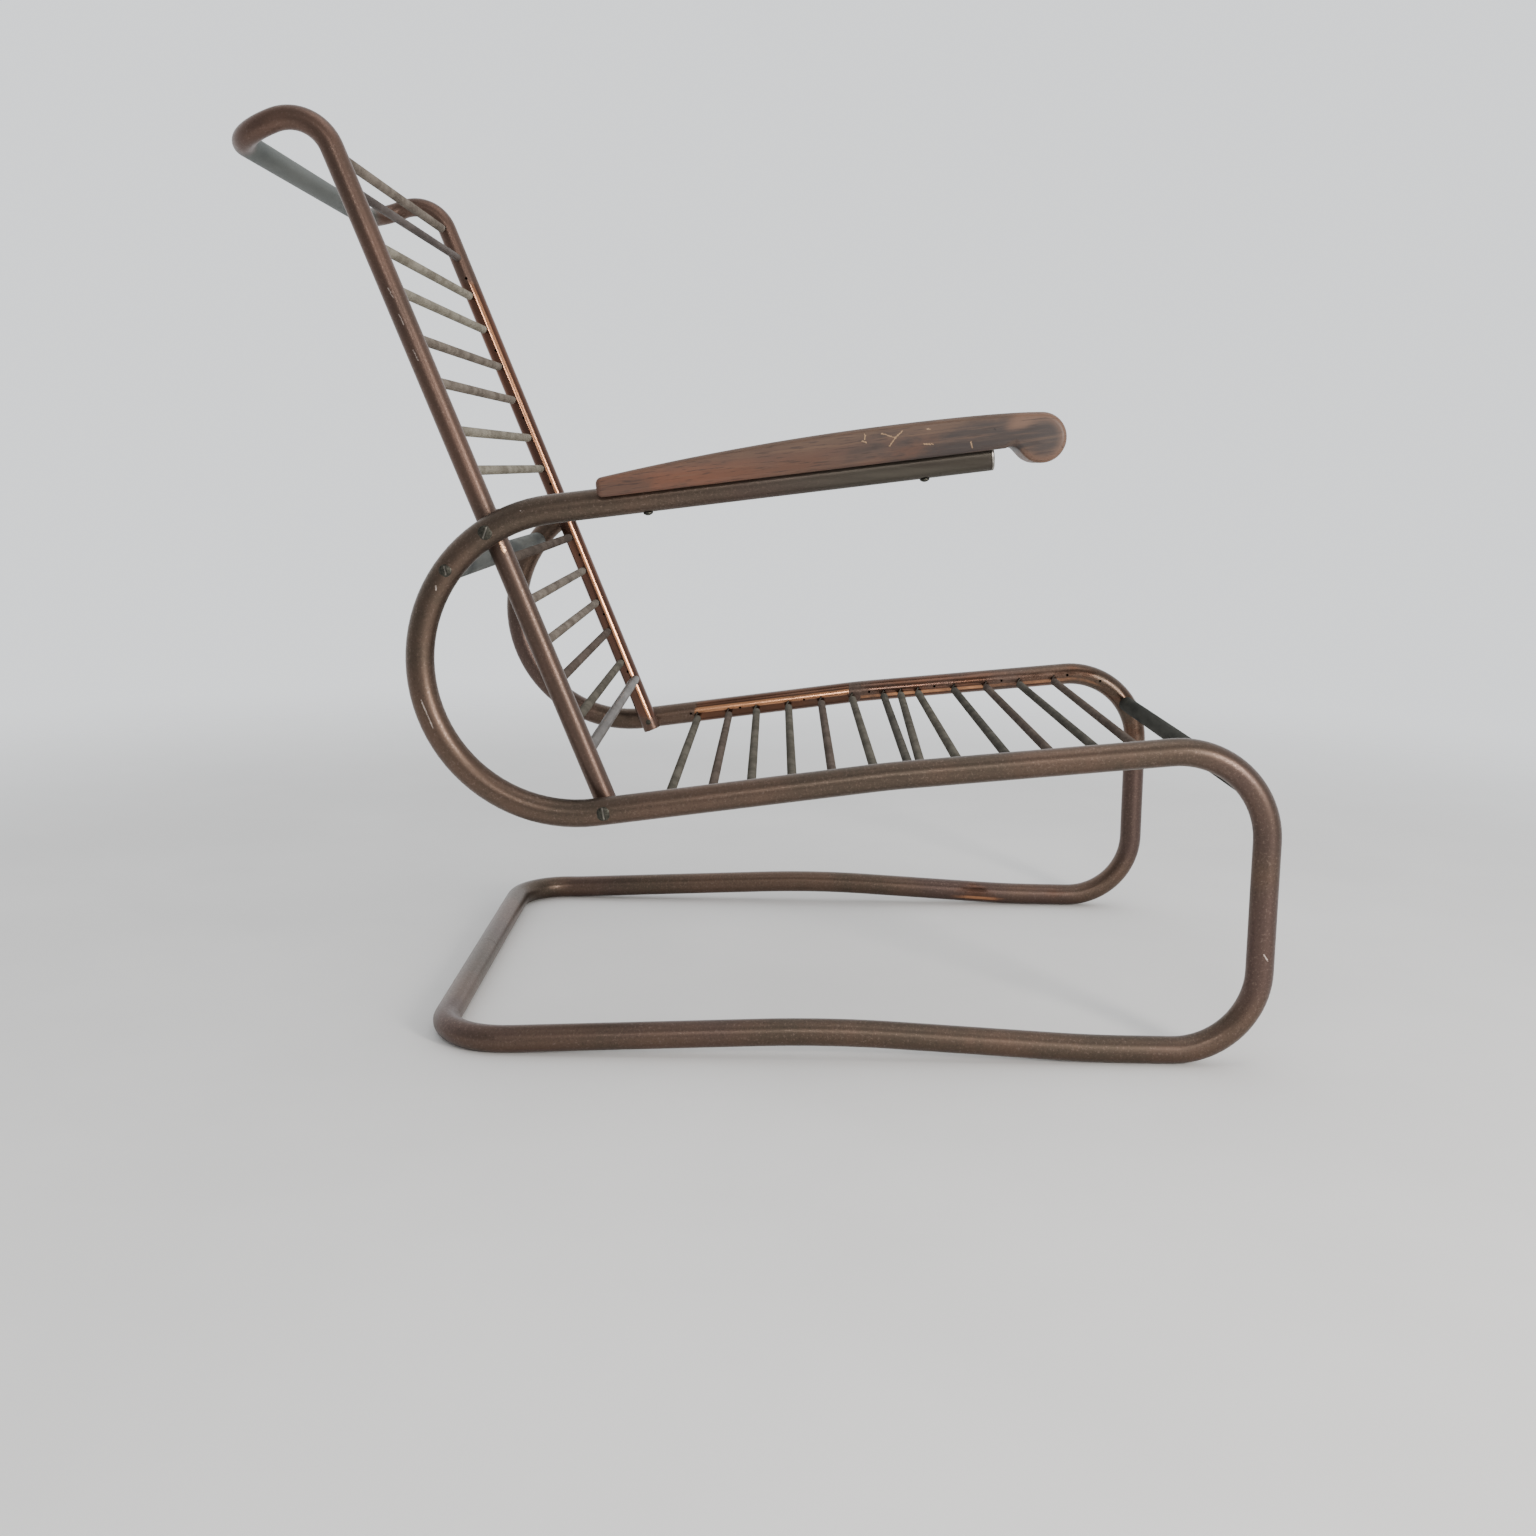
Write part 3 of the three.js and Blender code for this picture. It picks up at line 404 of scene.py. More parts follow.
# Finishes
class Nodes:
    """The nodes of a material or of the studio's surroundings, with short ways to add and join them."""

    def __init__(self, tree):
        self.tree = tree
        self.place = self.add("TexCoord").outputs["Object"]

    def add(self, kind, **settings):
        node = self.tree.nodes.new(f"ShaderNode{kind}")
        for name, value in settings.items():
            setattr(node, name, value)
        return node

    def join(self, source, socket):
        if hasattr(source, "links"):
            self.tree.links.new(source, socket)
        elif socket.type == "RGBA":
            socket.default_value = (*source, 1)
        else:
            socket.default_value = source

    def mapped(self, source, scale=(1, 1, 1), location=(0, 0, 0), rotation=(0, 0, 0)):
        node = self.add("Mapping")
        self.join(source, node.inputs["Vector"])
        node.inputs["Scale"].default_value = scale
        node.inputs["Location"].default_value = location
        node.inputs["Rotation"].default_value = rotation
        return node.outputs["Vector"]

    def noise(self, scale, detail=3, roughness=0.55, stretch=(1, 1, 1), shift=(0, 0, 0), place=None, output="Fac"):
        node = self.add("TexNoise")
        self.join(self.mapped(place or self.place, scale=stretch, location=shift), node.inputs["Vector"])
        node.inputs["Scale"].default_value = scale
        node.inputs["Detail"].default_value = detail
        node.inputs["Roughness"].default_value = roughness
        return node.outputs[output]

    def between(self, value, low, high, bottom=0.0, top=1.0):
        """The value brought from low..high to bottom..top, and held there."""
        node = self.add("MapRange", interpolation_type="SMOOTHSTEP")
        for name, number in (
            ("Value", value), ("From Min", low), ("From Max", high), ("To Min", bottom), ("To Max", top),
        ):
            self.join(number, node.inputs[name])
        return node.outputs["Result"]

    def number(self, operation, first, *others):
        """Numbers taken together, the first with each of the others in turn."""
        for other in others or (0.0,):
            node = self.add("Math", operation=operation)
            self.join(first, node.inputs[0])
            self.join(other, node.inputs[1])
            first = node.outputs["Value"]
        return first

    def vector(self, operation, first, second=None, scale=None, output="Vector"):
        node = self.add("VectorMath", operation=operation)
        self.join(first, node.inputs[0])
        if second is not None:
            self.join(second, node.inputs[1])
        if scale is not None:
            self.join(scale, node.inputs["Scale"])
        return node.outputs[output]

    def mix(self, share_of_second, first, second):
        node = self.add("Mix", data_type="RGBA")
        for source, socket in ((share_of_second, 0), (first, 6), (second, 7)):
            self.join(source, node.inputs[socket])
        return node.outputs[2]

    def axes(self, source):
        node = self.add("SeparateXYZ")
        self.join(source, node.inputs[0])
        return tuple(node.outputs)


class Finish(Nodes):
    """A material on Object coordinates, brought down to the shader of its piece."""

    def __init__(self, name):
        self.material = bpy.data.materials.new(name)
        self.material.use_nodes = True
        super().__init__(self.material.node_tree)
        self.shader = self.tree.nodes["Principled BSDF"]

    def normal(self):
        return self.axes(self.add("NewGeometry").outputs["Normal"])

    def bump(self, height, strength, distance):
        node = self.add("Bump")
        self.join(height, node.inputs["Height"])
        self.join(strength, node.inputs["Strength"])
        node.inputs["Distance"].default_value = distance
        self.join(node.outputs["Normal"], self.shader.inputs["Normal"])

    def marks(self, lines, y, width):
        """Ragged worn lines on the face at y, each between two points of the side view."""
        wander = self.vector("SUBTRACT", self.noise(700, output="Color"), (0.5, 0.5, 0.5))
        ragged = self.vector("ADD", self.place, self.vector("SCALE", wander, scale=width * 4))
        worn = 0.0
        for x_1, z_1, x_2, z_2 in lines:
            start, end = Vector((x_1, y, z_1)) / 1000, Vector((x_2, y, z_2)) / 1000
            line = end - start
            gone = self.vector("SUBTRACT", ragged, start)
            passed = self.vector("DOT_PRODUCT", gone, line / line.length_squared, output="Value")
            passed = self.number("MINIMUM", self.number("MAXIMUM", passed, 0.0), 1.0)
            nearest = self.vector("SCALE", line, scale=passed)
            away = self.vector("DISTANCE", gone, nearest, output="Value")
            worn = self.number("MAXIMUM", self.between(away, width, width * 0.4), worn)
        return worn

    def surface(self, base, roughness, metallic):
        self.join(base, self.shader.inputs["Base Color"])
        self.join(roughness, self.shader.inputs["Roughness"])
        self.join(metallic, self.shader.inputs["Metallic"])
        return self.material


def aged_bronze(name, kept, highlight_streak, nicks, face):
    """Brown plated tube: matt and speckled outside, still coppery on inner faces where kept says so.

    A painted highlight lies along the copper: a bright strip on the side whose normals the caller gives, where the side
    light's reflection falls.
    """
    f = Finish(name)
    x, y, z = f.axes(f.place)
    patches = f.noise(8, detail=5, roughness=0.62)
    tint = f.noise(4.5, detail=3, shift=(3, 1, 2))
    speckle = f.noise(430, detail=4, roughness=0.8)
    base = f.mix(f.between(patches, 0.4, 0.62), (0.124, 0.082, 0.061), (0.092, 0.069, 0.052))
    base = f.mix(f.between(tint, 0.5, 0.66, 0, 0.8), base, (0.1, 0.066, 0.058))
    base = f.mix(f.between(speckle, 0.54, 0.68, 0, 0.5), base, (0.25, 0.18, 0.145))
    base = f.mix(f.between(speckle, 0.44, 0.32, 0, 0.6), base, (0.055, 0.041, 0.034))
    forward, across, upward = f.normal()
    inward = f.number("MULTIPLY", across, f.number("SIGN", y), -1.0)
    worn = f.number("ADD", f.noise(16, detail=5, roughness=0.65, stretch=(0.4, 1, 0.8)), kept(f, x, z))
    copper = f.number("MULTIPLY", f.between(inward, 0.0, 0.5), f.between(worn, 0.56, 0.8))
    base = f.mix(copper, base, f.mix(f.between(patches, 0.35, 0.6), (0.15, 0.066, 0.038), (0.095, 0.047, 0.03)))
    # Painted highlight: the copper is painted bright where its normals face the side light's reflection
    shares, edge = highlight_streak(f, x)
    painted_highlight = f.number("ADD", *(f.number("MULTIPLY", *pair) for pair in zip((forward, inward, upward), shares)))
    painted_highlight = f.number("MULTIPLY", f.between(f.number("SUBTRACT", painted_highlight, edge), 0.0, 0.02), copper)
    base = f.mix(painted_highlight, base, (0.68, 0.33, 0.17))
    rough = f.between(speckle, 0.3, 0.7, 0.43, 0.34)
    rough = f.number("MULTIPLY", rough, f.between(copper, 0.0, 0.6, 1.0, 0.0))
    rough = f.number("ADD", rough, f.between(copper, 0.0, 0.6, 0.0, 0.2))
    scratched = f.marks(nicks, face, 0.0007)
    base = f.mix(scratched, base, (0.6, 0.5, 0.44))
    f.bump(speckle, f.between(copper, 0.0, 0.6, 0.28, 0.0), 0.0003)
    return f, base, rough


def side_frame_finish():
    def kept(f, x, z):
        rail = f.number("MULTIPLY", f.between(x, -0.09, -0.082), f.between(z, 0.18, 0.2))
        rail = f.number("MULTIPLY", rail, f.between(x, 0.104, 0.112, 0.34, 0.22))
        # Painted shadow: a short break in the copper where the arm's shadow crosses the far rail
        gap = f.between(f.number("ABSOLUTE", f.number("SUBTRACT", x, 0.1065)), 0.006, 0.0075, -0.5, 0)
        foot = f.number("MULTIPLY", f.between(z, 0.075, 0.05), f.between(x, 0.2, 0.28), 0.14)
        return f.number("ADD", rail, gap, foot, -0.05)

    # Painted highlight: the normals of the bright copper strip, a band on the rear rail and one on the front stretch
    def highlight_streak(f, x):
        front = f.between(x, 0.1, 0.112)
        shares = (0.0, f.between(front, 0, 1, 0.97, 0.906), f.between(front, 0, 1, 0.24, -0.42))
        return shares, f.between(front, 0, 1, 0.955, 0.975)

    nicks = (
        (-282.8, 425, -282.8, 421), (-306, 361, -306, 357), (-298.1, 325.8, -288.3, 301.3),
        (-210, 490, -208, 489), (450.4, 107.9, 454.4, 102.3),
    )
    f, base, rough = aged_bronze("aged_bronze_side_frame", kept, highlight_streak, nicks, -280)
    x, y, z = f.axes(f.place)
    arm = f.number("MULTIPLY", f.between(z, 0.49, 0.515), f.between(x, -0.1, 0.1))
    smears = f.between(f.noise(26, detail=4, stretch=(0.12, 1, 1), shift=(0, 5, 0)), 0.4, 0.62)
    base = f.mix(arm, base, f.mix(smears, (0.092, 0.082, 0.066), (0.055, 0.046, 0.038)))
    return f.surface(base, rough, 0.9)


def back_frame_finish():
    def kept(f, x, z):
        return f.number("MULTIPLY", f.between(z, 0.225, 0.24), f.between(z, 0.745, 0.7), 0.36)

    nicks = (
        (-324, 673.4, -320, 665.3), (-315.3, 651.4, -311.3, 643.3), (-304.2, 622.8, -300.1, 614.6),
    )
    # The lambda gives the normal of the painted highlight strip on the uprights
    f, base, rough = aged_bronze(
        "aged_bronze_back_frame", kept, lambda f, x: ((0.36, 0.933, 0.0), 0.958), nicks, -249.5,
    )
    base = f.mix(0.3, base, (0.125, 0.064, 0.053))
    # Painted highlight: a bright copper glint on the near upright just below the loop, where the side light's
    # reflection falls
    painted_glint = f.marks(((-231.5, 460, -228.5, 453.5),), -249.5, 0.002)
    base = f.mix(painted_glint, base, (0.85, 0.5, 0.28))
    y = f.number("ABSOLUTE", f.axes(f.place)[1])
    smears = f.between(f.noise(18, detail=5, roughness=0.65, stretch=(1, 0.3, 1)), 0.35, 0.65)
    grey = f.mix(smears, (0.06, 0.069, 0.06), (0.095, 0.102, 0.09))
    bar = f.between(y, 0.222, 0.2)
    rough = f.number("ADD", rough, f.number("MULTIPLY", bar, 0.22))
    return f.surface(f.mix(bar, base, grey), rough, f.between(bar, 0, 1, 0.85, 0.3))


def steel_finish(name, dark, pale, scale=30, stretch=(1, 0.35, 1), matt=0.7, metallic=0.3, gloss=0.2):
    """Bare or plated steel with patches along it and a fine grain."""
    f = Finish(name)
    patches = f.noise(scale, detail=5, roughness=0.65, stretch=stretch)
    grain = f.noise(650, detail=3, roughness=0.7)
    base = f.mix(f.between(patches, 0.36, 0.64), dark, pale)
    base = f.mix(f.between(grain, 0.5, 0.7, 0, 0.4), base, pale)
    f.bump(grain, 0.15, 0.0002)
    f.shader.inputs["Specular IOR Level"].default_value = gloss
    return f.surface(base, f.between(patches, 0.3, 0.7, matt + 0.06, matt - 0.06), metallic)


def spring_finish(name, dark, pale):
    return steel_finish(name, dark, pale, scale=55, stretch=(1, 0.6, 1), matt=0.62)


def screw_finish():
    f = Finish("screw_steel")
    grain = f.noise(500, detail=4, roughness=0.7)
    base = f.mix(f.between(grain, 0.4, 0.65), (0.035, 0.034, 0.027), (0.075, 0.072, 0.058))
    fasteners = bpy.context.scene.chair_fasteners
    view = SideView(bpy.context.scene)
    floor = view.half + view.side.tube / 2 - fasteners.head_seat + fasteners.head_height - fasteners.slot_depth
    across = f.number("ABSOLUTE", f.axes(f.place)[1])
    flat = f.number("ABSOLUTE", f.normal()[1])
    slot = f.number("MULTIPLY", f.between(flat, 0.97, 0.985), f.between(across, floor + 0.0003, floor + 0.0002))
    slot = f.number("MULTIPLY", slot, f.between(across, floor - 0.0003, floor - 0.0002))
    base = f.mix(slot, base, (0.2, 0.185, 0.16))
    f.bump(grain, 0.2, 0.0002)
    return f.surface(base, f.between(grain, 0.3, 0.7, 0.32, 0.5), 0.85)


def plug_finish():
    f = Finish("bright_plug")
    grain = f.noise(600, detail=4, roughness=0.7)
    base = f.mix(f.between(grain, 0.35, 0.65), (0.2, 0.185, 0.165), (0.42, 0.4, 0.36))
    f.bump(grain, 0.15, 0.0002)
    return f.surface(base, f.between(grain, 0.3, 0.7, 0.28, 0.45), 0.95)


def wood_finish():
    """Reddish brown wood, darkened by hands towards its front and worn pale round the nose."""
    scene = bpy.context.scene
    view, sizes = SideView(scene), scene.chair_armrests
    f = Finish("worn_wood")
    turn = Matrix.Rotation(view.side.arm_angle, 3, "Y")
    origin = turn @ view.place(view.arm_origin, 0)
    lengthwise = f.mapped(f.place, rotation=turn.to_euler(), location=-origin)
    reach, _, height = f.axes(lengthwise)
    fibre = f.noise(230, detail=5, roughness=0.65, stretch=(0.05, 1, 1), place=lengthwise)
    pores = f.noise(900, detail=2, stretch=(0.07, 1, 1), place=lengthwise)
    blotches = f.noise(24, detail=5, roughness=0.65, stretch=(0.45, 1, 1), place=lengthwise)
    ragged = f.between(blotches, 0.25, 0.75, -0.5, 0.5)
    base = f.mix(f.between(reach, -0.22, -0.06), (0.16, 0.063, 0.034), (0.098, 0.046, 0.028))
    base = f.mix(f.between(blotches, 0.42, 0.6, 0, 0.75), base, (0.078, 0.044, 0.031))
    upper = f.number("ADD", height, f.number("MULTIPLY", ragged, -0.012))
    base = f.mix(f.between(upper, 0.017, 0.029, 0, 0.5), base, (0.1, 0.063, 0.04))
    forward = f.number("ADD", reach, f.number("MULTIPLY", ragged, 0.09))
    handled = f.number("MULTIPLY", f.between(forward, -0.03, 0.03), f.between(upper, 0.03, 0.02))
    base = f.mix(handled, base, f.mix(f.between(fibre, 0.4, 0.6), (0.034, 0.024, 0.021), (0.052, 0.034, 0.027)))
    nose = (sizes.nose_reach, 0, sizes.nose_height)
    flat = f.vector("MULTIPLY", lengthwise, (1, 0, 1))
    from_nose = f.vector("DISTANCE", flat, nose, output="Value")
    rim = f.number("MULTIPLY", f.between(from_nose, 0.01, 0.02), f.between(from_nose, 0.036, 0.024))
    level = f.number("ABSOLUTE", f.number("SUBTRACT", height, sizes.nose_height))
    neck = f.number("MULTIPLY", f.between(level, 0.013, 0.006), f.between(reach, 0.124, 0.112))
    rim = f.number("MULTIPLY", rim, f.number("SUBTRACT", 1.0, neck), 0.85)
    base = f.mix(rim, base, (0.165, 0.088, 0.055))
    base = f.mix(f.between(fibre, 0.5, 0.68, 0, 0.35), base, (0.15, 0.085, 0.052))
    base = f.mix(f.between(pores, 0.56, 0.7, 0, 0.7), base, (0.035, 0.02, 0.015))
    scratches = (
        (80.9, 557.5, 80.9, 553.5), (79, 552, 82, 551), (94.8, 558.5, 106.3, 555.3), (106.3, 555.3, 111.9, 560.7),
        (106.3, 555.3, 101.6, 548.4),
        (132.4, 562.8, 134.9, 562.8), (130.3, 550.5, 138.7, 550.6), (169.5, 552.7, 171.4, 546.2),
        (114.9, 537.9, 127.4, 538.1),
    )
    base = f.mix(f.marks(scratches, -291.5, 0.0007), base, (0.34, 0.215, 0.115))
    base = f.mix(f.marks(((189, 563.3, 189.2, 563.3),), -291.5, 0.0012), base, (0.01, 0.008, 0.007))
    f.bump(f.number("ADD", fibre, pores), 0.22, 0.0003)
    return f.surface(base, f.between(blotches, 0.3, 0.7, 0.42, 0.56), 0.0)


GREENISH, BROWNISH, TAN, PALE, DARK = (f"{tone}_spring" for tone in ("greenish", "brownish", "tan", "pale", "dark"))
FINISHES = {}


def finish(name):
    """The named material, made when it is first asked for."""
    makers = {
        "aged_bronze_side_frame": side_frame_finish,
        "aged_bronze_back_frame": back_frame_finish,
        "brown_rod": lambda: steel_finish("brown_rod", (0.055, 0.041, 0.035), (0.095, 0.073, 0.062), metallic=0.2),
        "dark_cross_tube": lambda: steel_finish(
            "dark_cross_tube", (0.02, 0.02, 0.016), (0.042, 0.041, 0.033), matt=0.85, metallic=0.1, gloss=0.1
        ),
        "grey_brace": lambda: steel_finish("grey_brace", (0.085, 0.092, 0.086), (0.14, 0.147, 0.132), metallic=0.6),
        "pale_lower_bar": lambda: steel_finish(
            "pale_lower_bar", (0.095, 0.082, 0.072), (0.15, 0.13, 0.113), matt=0.48, metallic=0.5
        ),
        GREENISH: lambda: spring_finish(GREENISH, (0.078, 0.071, 0.057), (0.125, 0.114, 0.092)),
        BROWNISH: lambda: spring_finish(BROWNISH, (0.073, 0.056, 0.046), (0.115, 0.09, 0.074)),
        TAN: lambda: spring_finish(TAN, (0.125, 0.104, 0.086), (0.21, 0.18, 0.15)),
        PALE: lambda: spring_finish(PALE, (0.167, 0.149, 0.119), (0.279, 0.256, 0.208)),
        DARK: lambda: spring_finish(DARK, (0.056, 0.053, 0.044), (0.096, 0.088, 0.073)),
        "screw_steel": screw_finish,
        "bright_plug": plug_finish,
        "worn_wood": wood_finish,
    }
    if name not in FINISHES:
        FINISHES[name] = makers[name]()
    return FINISHES[name]


# Tubes
STRAIGHT_PITCH = 0.06
BEND_PITCH = 0.011
BEND_STEP = radians(4)
CLEARANCE = 0.0003
TUBE_SIDES = 48


def side_frame_corners(view, sign):
    side = view.side
    y = sign * view.half
    loop_back = -(view.rear_rail + view.arm).normalized()

    def loop_corner(one, other):
        return view.loop + (one + other) * side.loop_radius / (1 + one.dot(other))

    upper = loop_corner(left_of(view.arm), loop_back)
    lower = loop_corner(-left_of(view.rear_rail), loop_back)
    floor = view.floor
    points = [
        (view.arm_end, 0),
        (upper, side.loop_radius),
        (lower, side.loop_radius),
        (view.kink, side.kink_radius),
        (view.front_corner, side.front_radius),
        (view.foot_corner, side.foot_radius),
        (Vector((side.foot_reach, floor)), side.runner_radius),
        (Vector((-side.crest_back, floor + side.crest_rise)), side.runner_radius),
        (Vector((-side.tail_back, floor)), side.tail_radius),
        (Vector((-side.bar_back, floor)), side.corner_radius),
    ]
    corners = [(view.place(point, y), radius) for point, radius in points]
    return corners + [(view.place(Vector((-side.bar_back, floor)), sign * CLEARANCE / 2), 0)]


def back_frame_corners(view):
    back = view.back
    tail = view.lower_bolt - view.up * back.tail
    half = view.back_half
    return [
        (view.place(tail, -half), 0),
        (view.place(view.head_corner, -half), back.head_radius),
        (view.place(view.head_end, -half), back.corner_radius),
        (view.place(view.head_end, half), back.corner_radius),
        (view.place(view.head_corner, half), back.head_radius),
        (view.place(tail, half), 0),
    ]


def bent_tube(name, corners, radius, wall):
    """A hollow tube along its corners: the outer skin, then its wall inwards."""
    piece = ring(name, radius, TUBE_SIDES, corners[0][0], corners[1][0] - corners[0][0])
    follow(corners, STRAIGHT_PITCH, BEND_PITCH, BEND_STEP)
    tidy(1e-6)
    leave_edit()
    apply_modifier(piece, "SOLIDIFY", thickness=wall, offset=-1, use_rim=True, use_even_offset=True)
    return piece


def bent_bar(corners, radius, sides=32):
    """A closed bar along the same corners, to cut what seats on the tube."""
    piece = ring("seat_cutter", radius, sides, corners[0][0], corners[1][0] - corners[0][0])
    follow(corners, STRAIGHT_PITCH, BEND_PITCH, BEND_STEP)
    close_ends()
    tidy(1e-6)
    leave_edit()
    return piece


def upright_bar(view, sign, radius):
    """The straight length of an upright as a closed bar."""
    y = sign * view.back_half
    top = view.head_corner - view.up * view.back.head_radius
    return rod(radius, 48, view.place(view.lower_bolt - view.up * view.back.tail, y), view.place(top, y))


def wall_hole(view, point, sign, half, tube, diameter):
    """A drill through the inner wall of a tube, to the middle of its bore."""
    start = view.place(point, sign * (half - tube))
    return rod(diameter / 2, 20, start, view.place(point, sign * half))


def through_hole(view, point, sign, half, tube, diameter):
    return rod(diameter / 2, 24, view.place(point, sign * (half - tube)), view.place(point, sign * (half + tube)))


def face_seat(view, point, sign, bottom, top, diameter):
    return rod(diameter / 2 + CLEARANCE, 40, view.place(point, sign * bottom), view.place(point, sign * top))


class CHAIR_OT_side_frames(Operator):
    """Bends both side frames and drills their rails"""

    bl_idname = "chair.side_frames"
    bl_label = "Side Frames"

    def execute(self, context):
        view = SideView(context.scene)
        side, springs, screws = view.side, view.springs, context.scene.chair_fasteners
        outside = view.half + side.tube / 2
        for name, sign in SIDES:
            tube = bent_tube(f"bent_side_frame_{name}", side_frame_corners(view, sign), side.tube / 2, side.wall)
            holes = [view.on_seat(place) for place in SEAT_SPRINGS[name] + SEAT_SPARES[name]]
            cutters = [wall_hole(view, point, sign, view.half, side.tube, springs.hole) for point in holes]
            for point, head in (
                (view.lower_bolt, screws.bolt_head),
                (view.upper_bolt, screws.bolt_head),
                (view.brace, screws.brace_head),
            ):
                cutters.append(through_hole(view, point, sign, view.half, side.tube, screws.bolt))
                seat = outside - screws.head_seat
                cutters.append(face_seat(view, point, sign, seat, outside + side.tube, head))
            for reach in (-screws.arm_rear_back, screws.arm_front_reach):
                below = view.place(view.on_arm(reach, -side.tube), sign * view.half)
                above = view.place(view.on_arm(reach, side.tube), sign * view.half)
                cutters.append(rod(screws.arm_screw / 2 + CLEARANCE, 20, below, above))
            cut(tube, cutters)
            smooth(tube)
            hand_over(tube, finish("aged_bronze_side_frame"), "bronzed_tube", f"side_frame_{name}")
        return {"FINISHED"}


class CHAIR_OT_cross_members(Operator):
    """Fits the front cross tube and the brace between the side frames, and finishes the joint sleeve"""

    bl_idname = "chair.cross_members"
    bl_label = "Cross Members"

    def execute(self, context):
        view = SideView(context.scene)
        for node, look, point, diameter, bends in (
            ("front_cross_tube", "dark_cross_tube", view.cross_tube, view.cross.front_tube, slice(3, 6)),
            ("rear_brace", "grey_brace", view.brace, view.cross.brace, slice(0, 4)),
        ):
            bar = ring(f"coped_{node}", diameter / 2, TUBE_SIDES, view.place(point, -view.half), ACROSS)
            push(ACROSS * view.side.spacing, 0.05)
            close_ends()
            tidy(1e-6)
            leave_edit()
            seat = view.side.tube / 2 + CLEARANCE
            cut(bar, [bent_bar(side_frame_corners(view, sign)[bends], seat) for _, sign in SIDES])
            smooth(bar)
            hand_over(bar, finish(look), "grey_steel", node)
        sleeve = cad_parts["frame_joint_sleeve"]
        sleeve.data.materials.clear()
        sleeve.data.materials.append(finish("grey_brace"))
        return {"FINISHED"}


class CHAIR_OT_back_frame(Operator):
    """Bends the back frame and drills its uprights"""

    bl_idname = "chair.back_frame"
    bl_label = "Back Frame"

    def execute(self, context):
        view = SideView(context.scene)
        back, springs, screws = view.back, view.springs, context.scene.chair_fasteners
        tube = bent_tube("bent_back_frame", back_frame_corners(view), back.tube / 2, back.wall)
        inside = view.back_half - back.tube / 2
        cutters = []
        for _, sign in SIDES:
            for place in BACK_SPRINGS + BACK_SPARES:
                point = view.on_back(place)
                cutters.append(wall_hole(view, point, sign, view.back_half, back.tube, springs.hole))
            for point in (view.lower_bolt, view.upper_bolt):
                cutters.append(through_hole(view, point, sign, view.back_half, back.tube, screws.bolt))
                seat = inside + screws.nut_seat
                cutters.append(face_seat(view, point, sign, inside - back.tube, seat, screws.nut))
        cut(tube, cutters)
        smooth(tube)
        hand_over(tube, finish("aged_bronze_back_frame"), "bronzed_tube", "back_frame")
        return {"FINISHED"}


class CHAIR_OT_back_stays(Operator):
    """Fits the lower bar and the upper rod between the uprights"""

    bl_idname = "chair.back_stays"
    bl_label = "Lower Bar and Upper Rod"

    def execute(self, context):
        view = SideView(context.scene)
        seat = view.back.tube / 2 + CLEARANCE
        for node, look, slot, point, diameter in (
            ("back_lower_bar", "pale_lower_bar", "grey_steel", view.lower_bar, view.back.lower_bar),
            ("back_upper_rod", "brown_rod", "bronzed_tube", view.upper_rod, view.back.upper_rod),
        ):
            bar = ring(f"smooth_{node}", diameter / 2, 32, view.place(point, -view.back_half), ACROSS)
            push(ACROSS * 2 * view.back_half, 0.02)
            close_ends()
            tidy(1e-6)
            leave_edit()
            cut(bar, [upright_bar(view, sign, seat) for _, sign in SIDES])
            smooth(bar)
            hand_over(bar, finish(look), slot, node)
        return {"FINISHED"}


# Springs: wound along the Y axis about the origin, with the hooks above the axis
def wound_spring(view, name, half, tube, wall, drop):
    """One spring for a pair of tubes at half their spacing: its touching turns, then a curl and hook at each end."""
    sizes = view.springs
    wire, coil = sizes.wire / 2, (sizes.coil - sizes.wire) / 2
    end = half - tube / 2 - sizes.end_gap - wire
    turns = round(2 * end / sizes.wire)
    top = UPRIGHT * coil
    piece = ring(name, wire, sizes.wire_sides, top - ACROSS * end, Vector((1, 0, 0)))
    leave_edit()
    apply_modifier(
        piece, "SCREW", axis="Y", angle=2 * pi, steps=sizes.turn_steps, render_steps=sizes.turn_steps,
        iterations=turns, screw_offset=2 * end / turns, use_merge_vertices=False, use_smooth_shade=True,
    )
    last_turn = 2 * pi - acos(coil / drop)
    pitch = sizes.wire + sizes.curl_gap
    hook = ring("spring_hook", wire, sizes.wire_sides, top + ACROSS * end, Vector((1, 0, 0)))
    for _ in range(sizes.turn_steps):
        bpy.ops.mesh.spin(steps=1, angle=-last_turn / sizes.turn_steps, center=(0, 0, 0), axis=ACROSS)
        bpy.ops.transform.translate(value=ACROSS * pitch / sizes.turn_steps)
    start = Vector((coil * sin(last_turn), end + pitch, coil * cos(last_turn)))
    turn_in = Vector((0, start.y, drop))
    turn_up = turn_in.copy()
    turn_up.y = half - tube / 2 + wall + CLEARANCE + wire
    corners = [(start, 0), (turn_in, sizes.wire_bend * 0.8), (turn_up, sizes.wire_bend)]
    follow(corners + [(turn_up + UPRIGHT * sizes.hook_rise, 0)], sizes.coil, sizes.coil, radians(20))
    leave_edit()
    other = another(hook, "spring_other_hook", Matrix.Rotation(pi, 4, "Z"))
    select_only(piece, hook, other)
    bpy.ops.object.join()
    edit(piece)
    bpy.ops.mesh.remove_doubles(threshold=1e-5)
    close_ends()
    tidy(1e-6)
    leave_edit()
    smooth(piece, 60)
    return piece


def placed_between(left, right, rise):
    """Where a spring lies: along the line of its two holes, with its hooks towards the rise."""
    direction = (left - right).normalized()
    side = direction.cross(rise).normalized()
    risen = side.cross(direction)
    return direction, side, risen


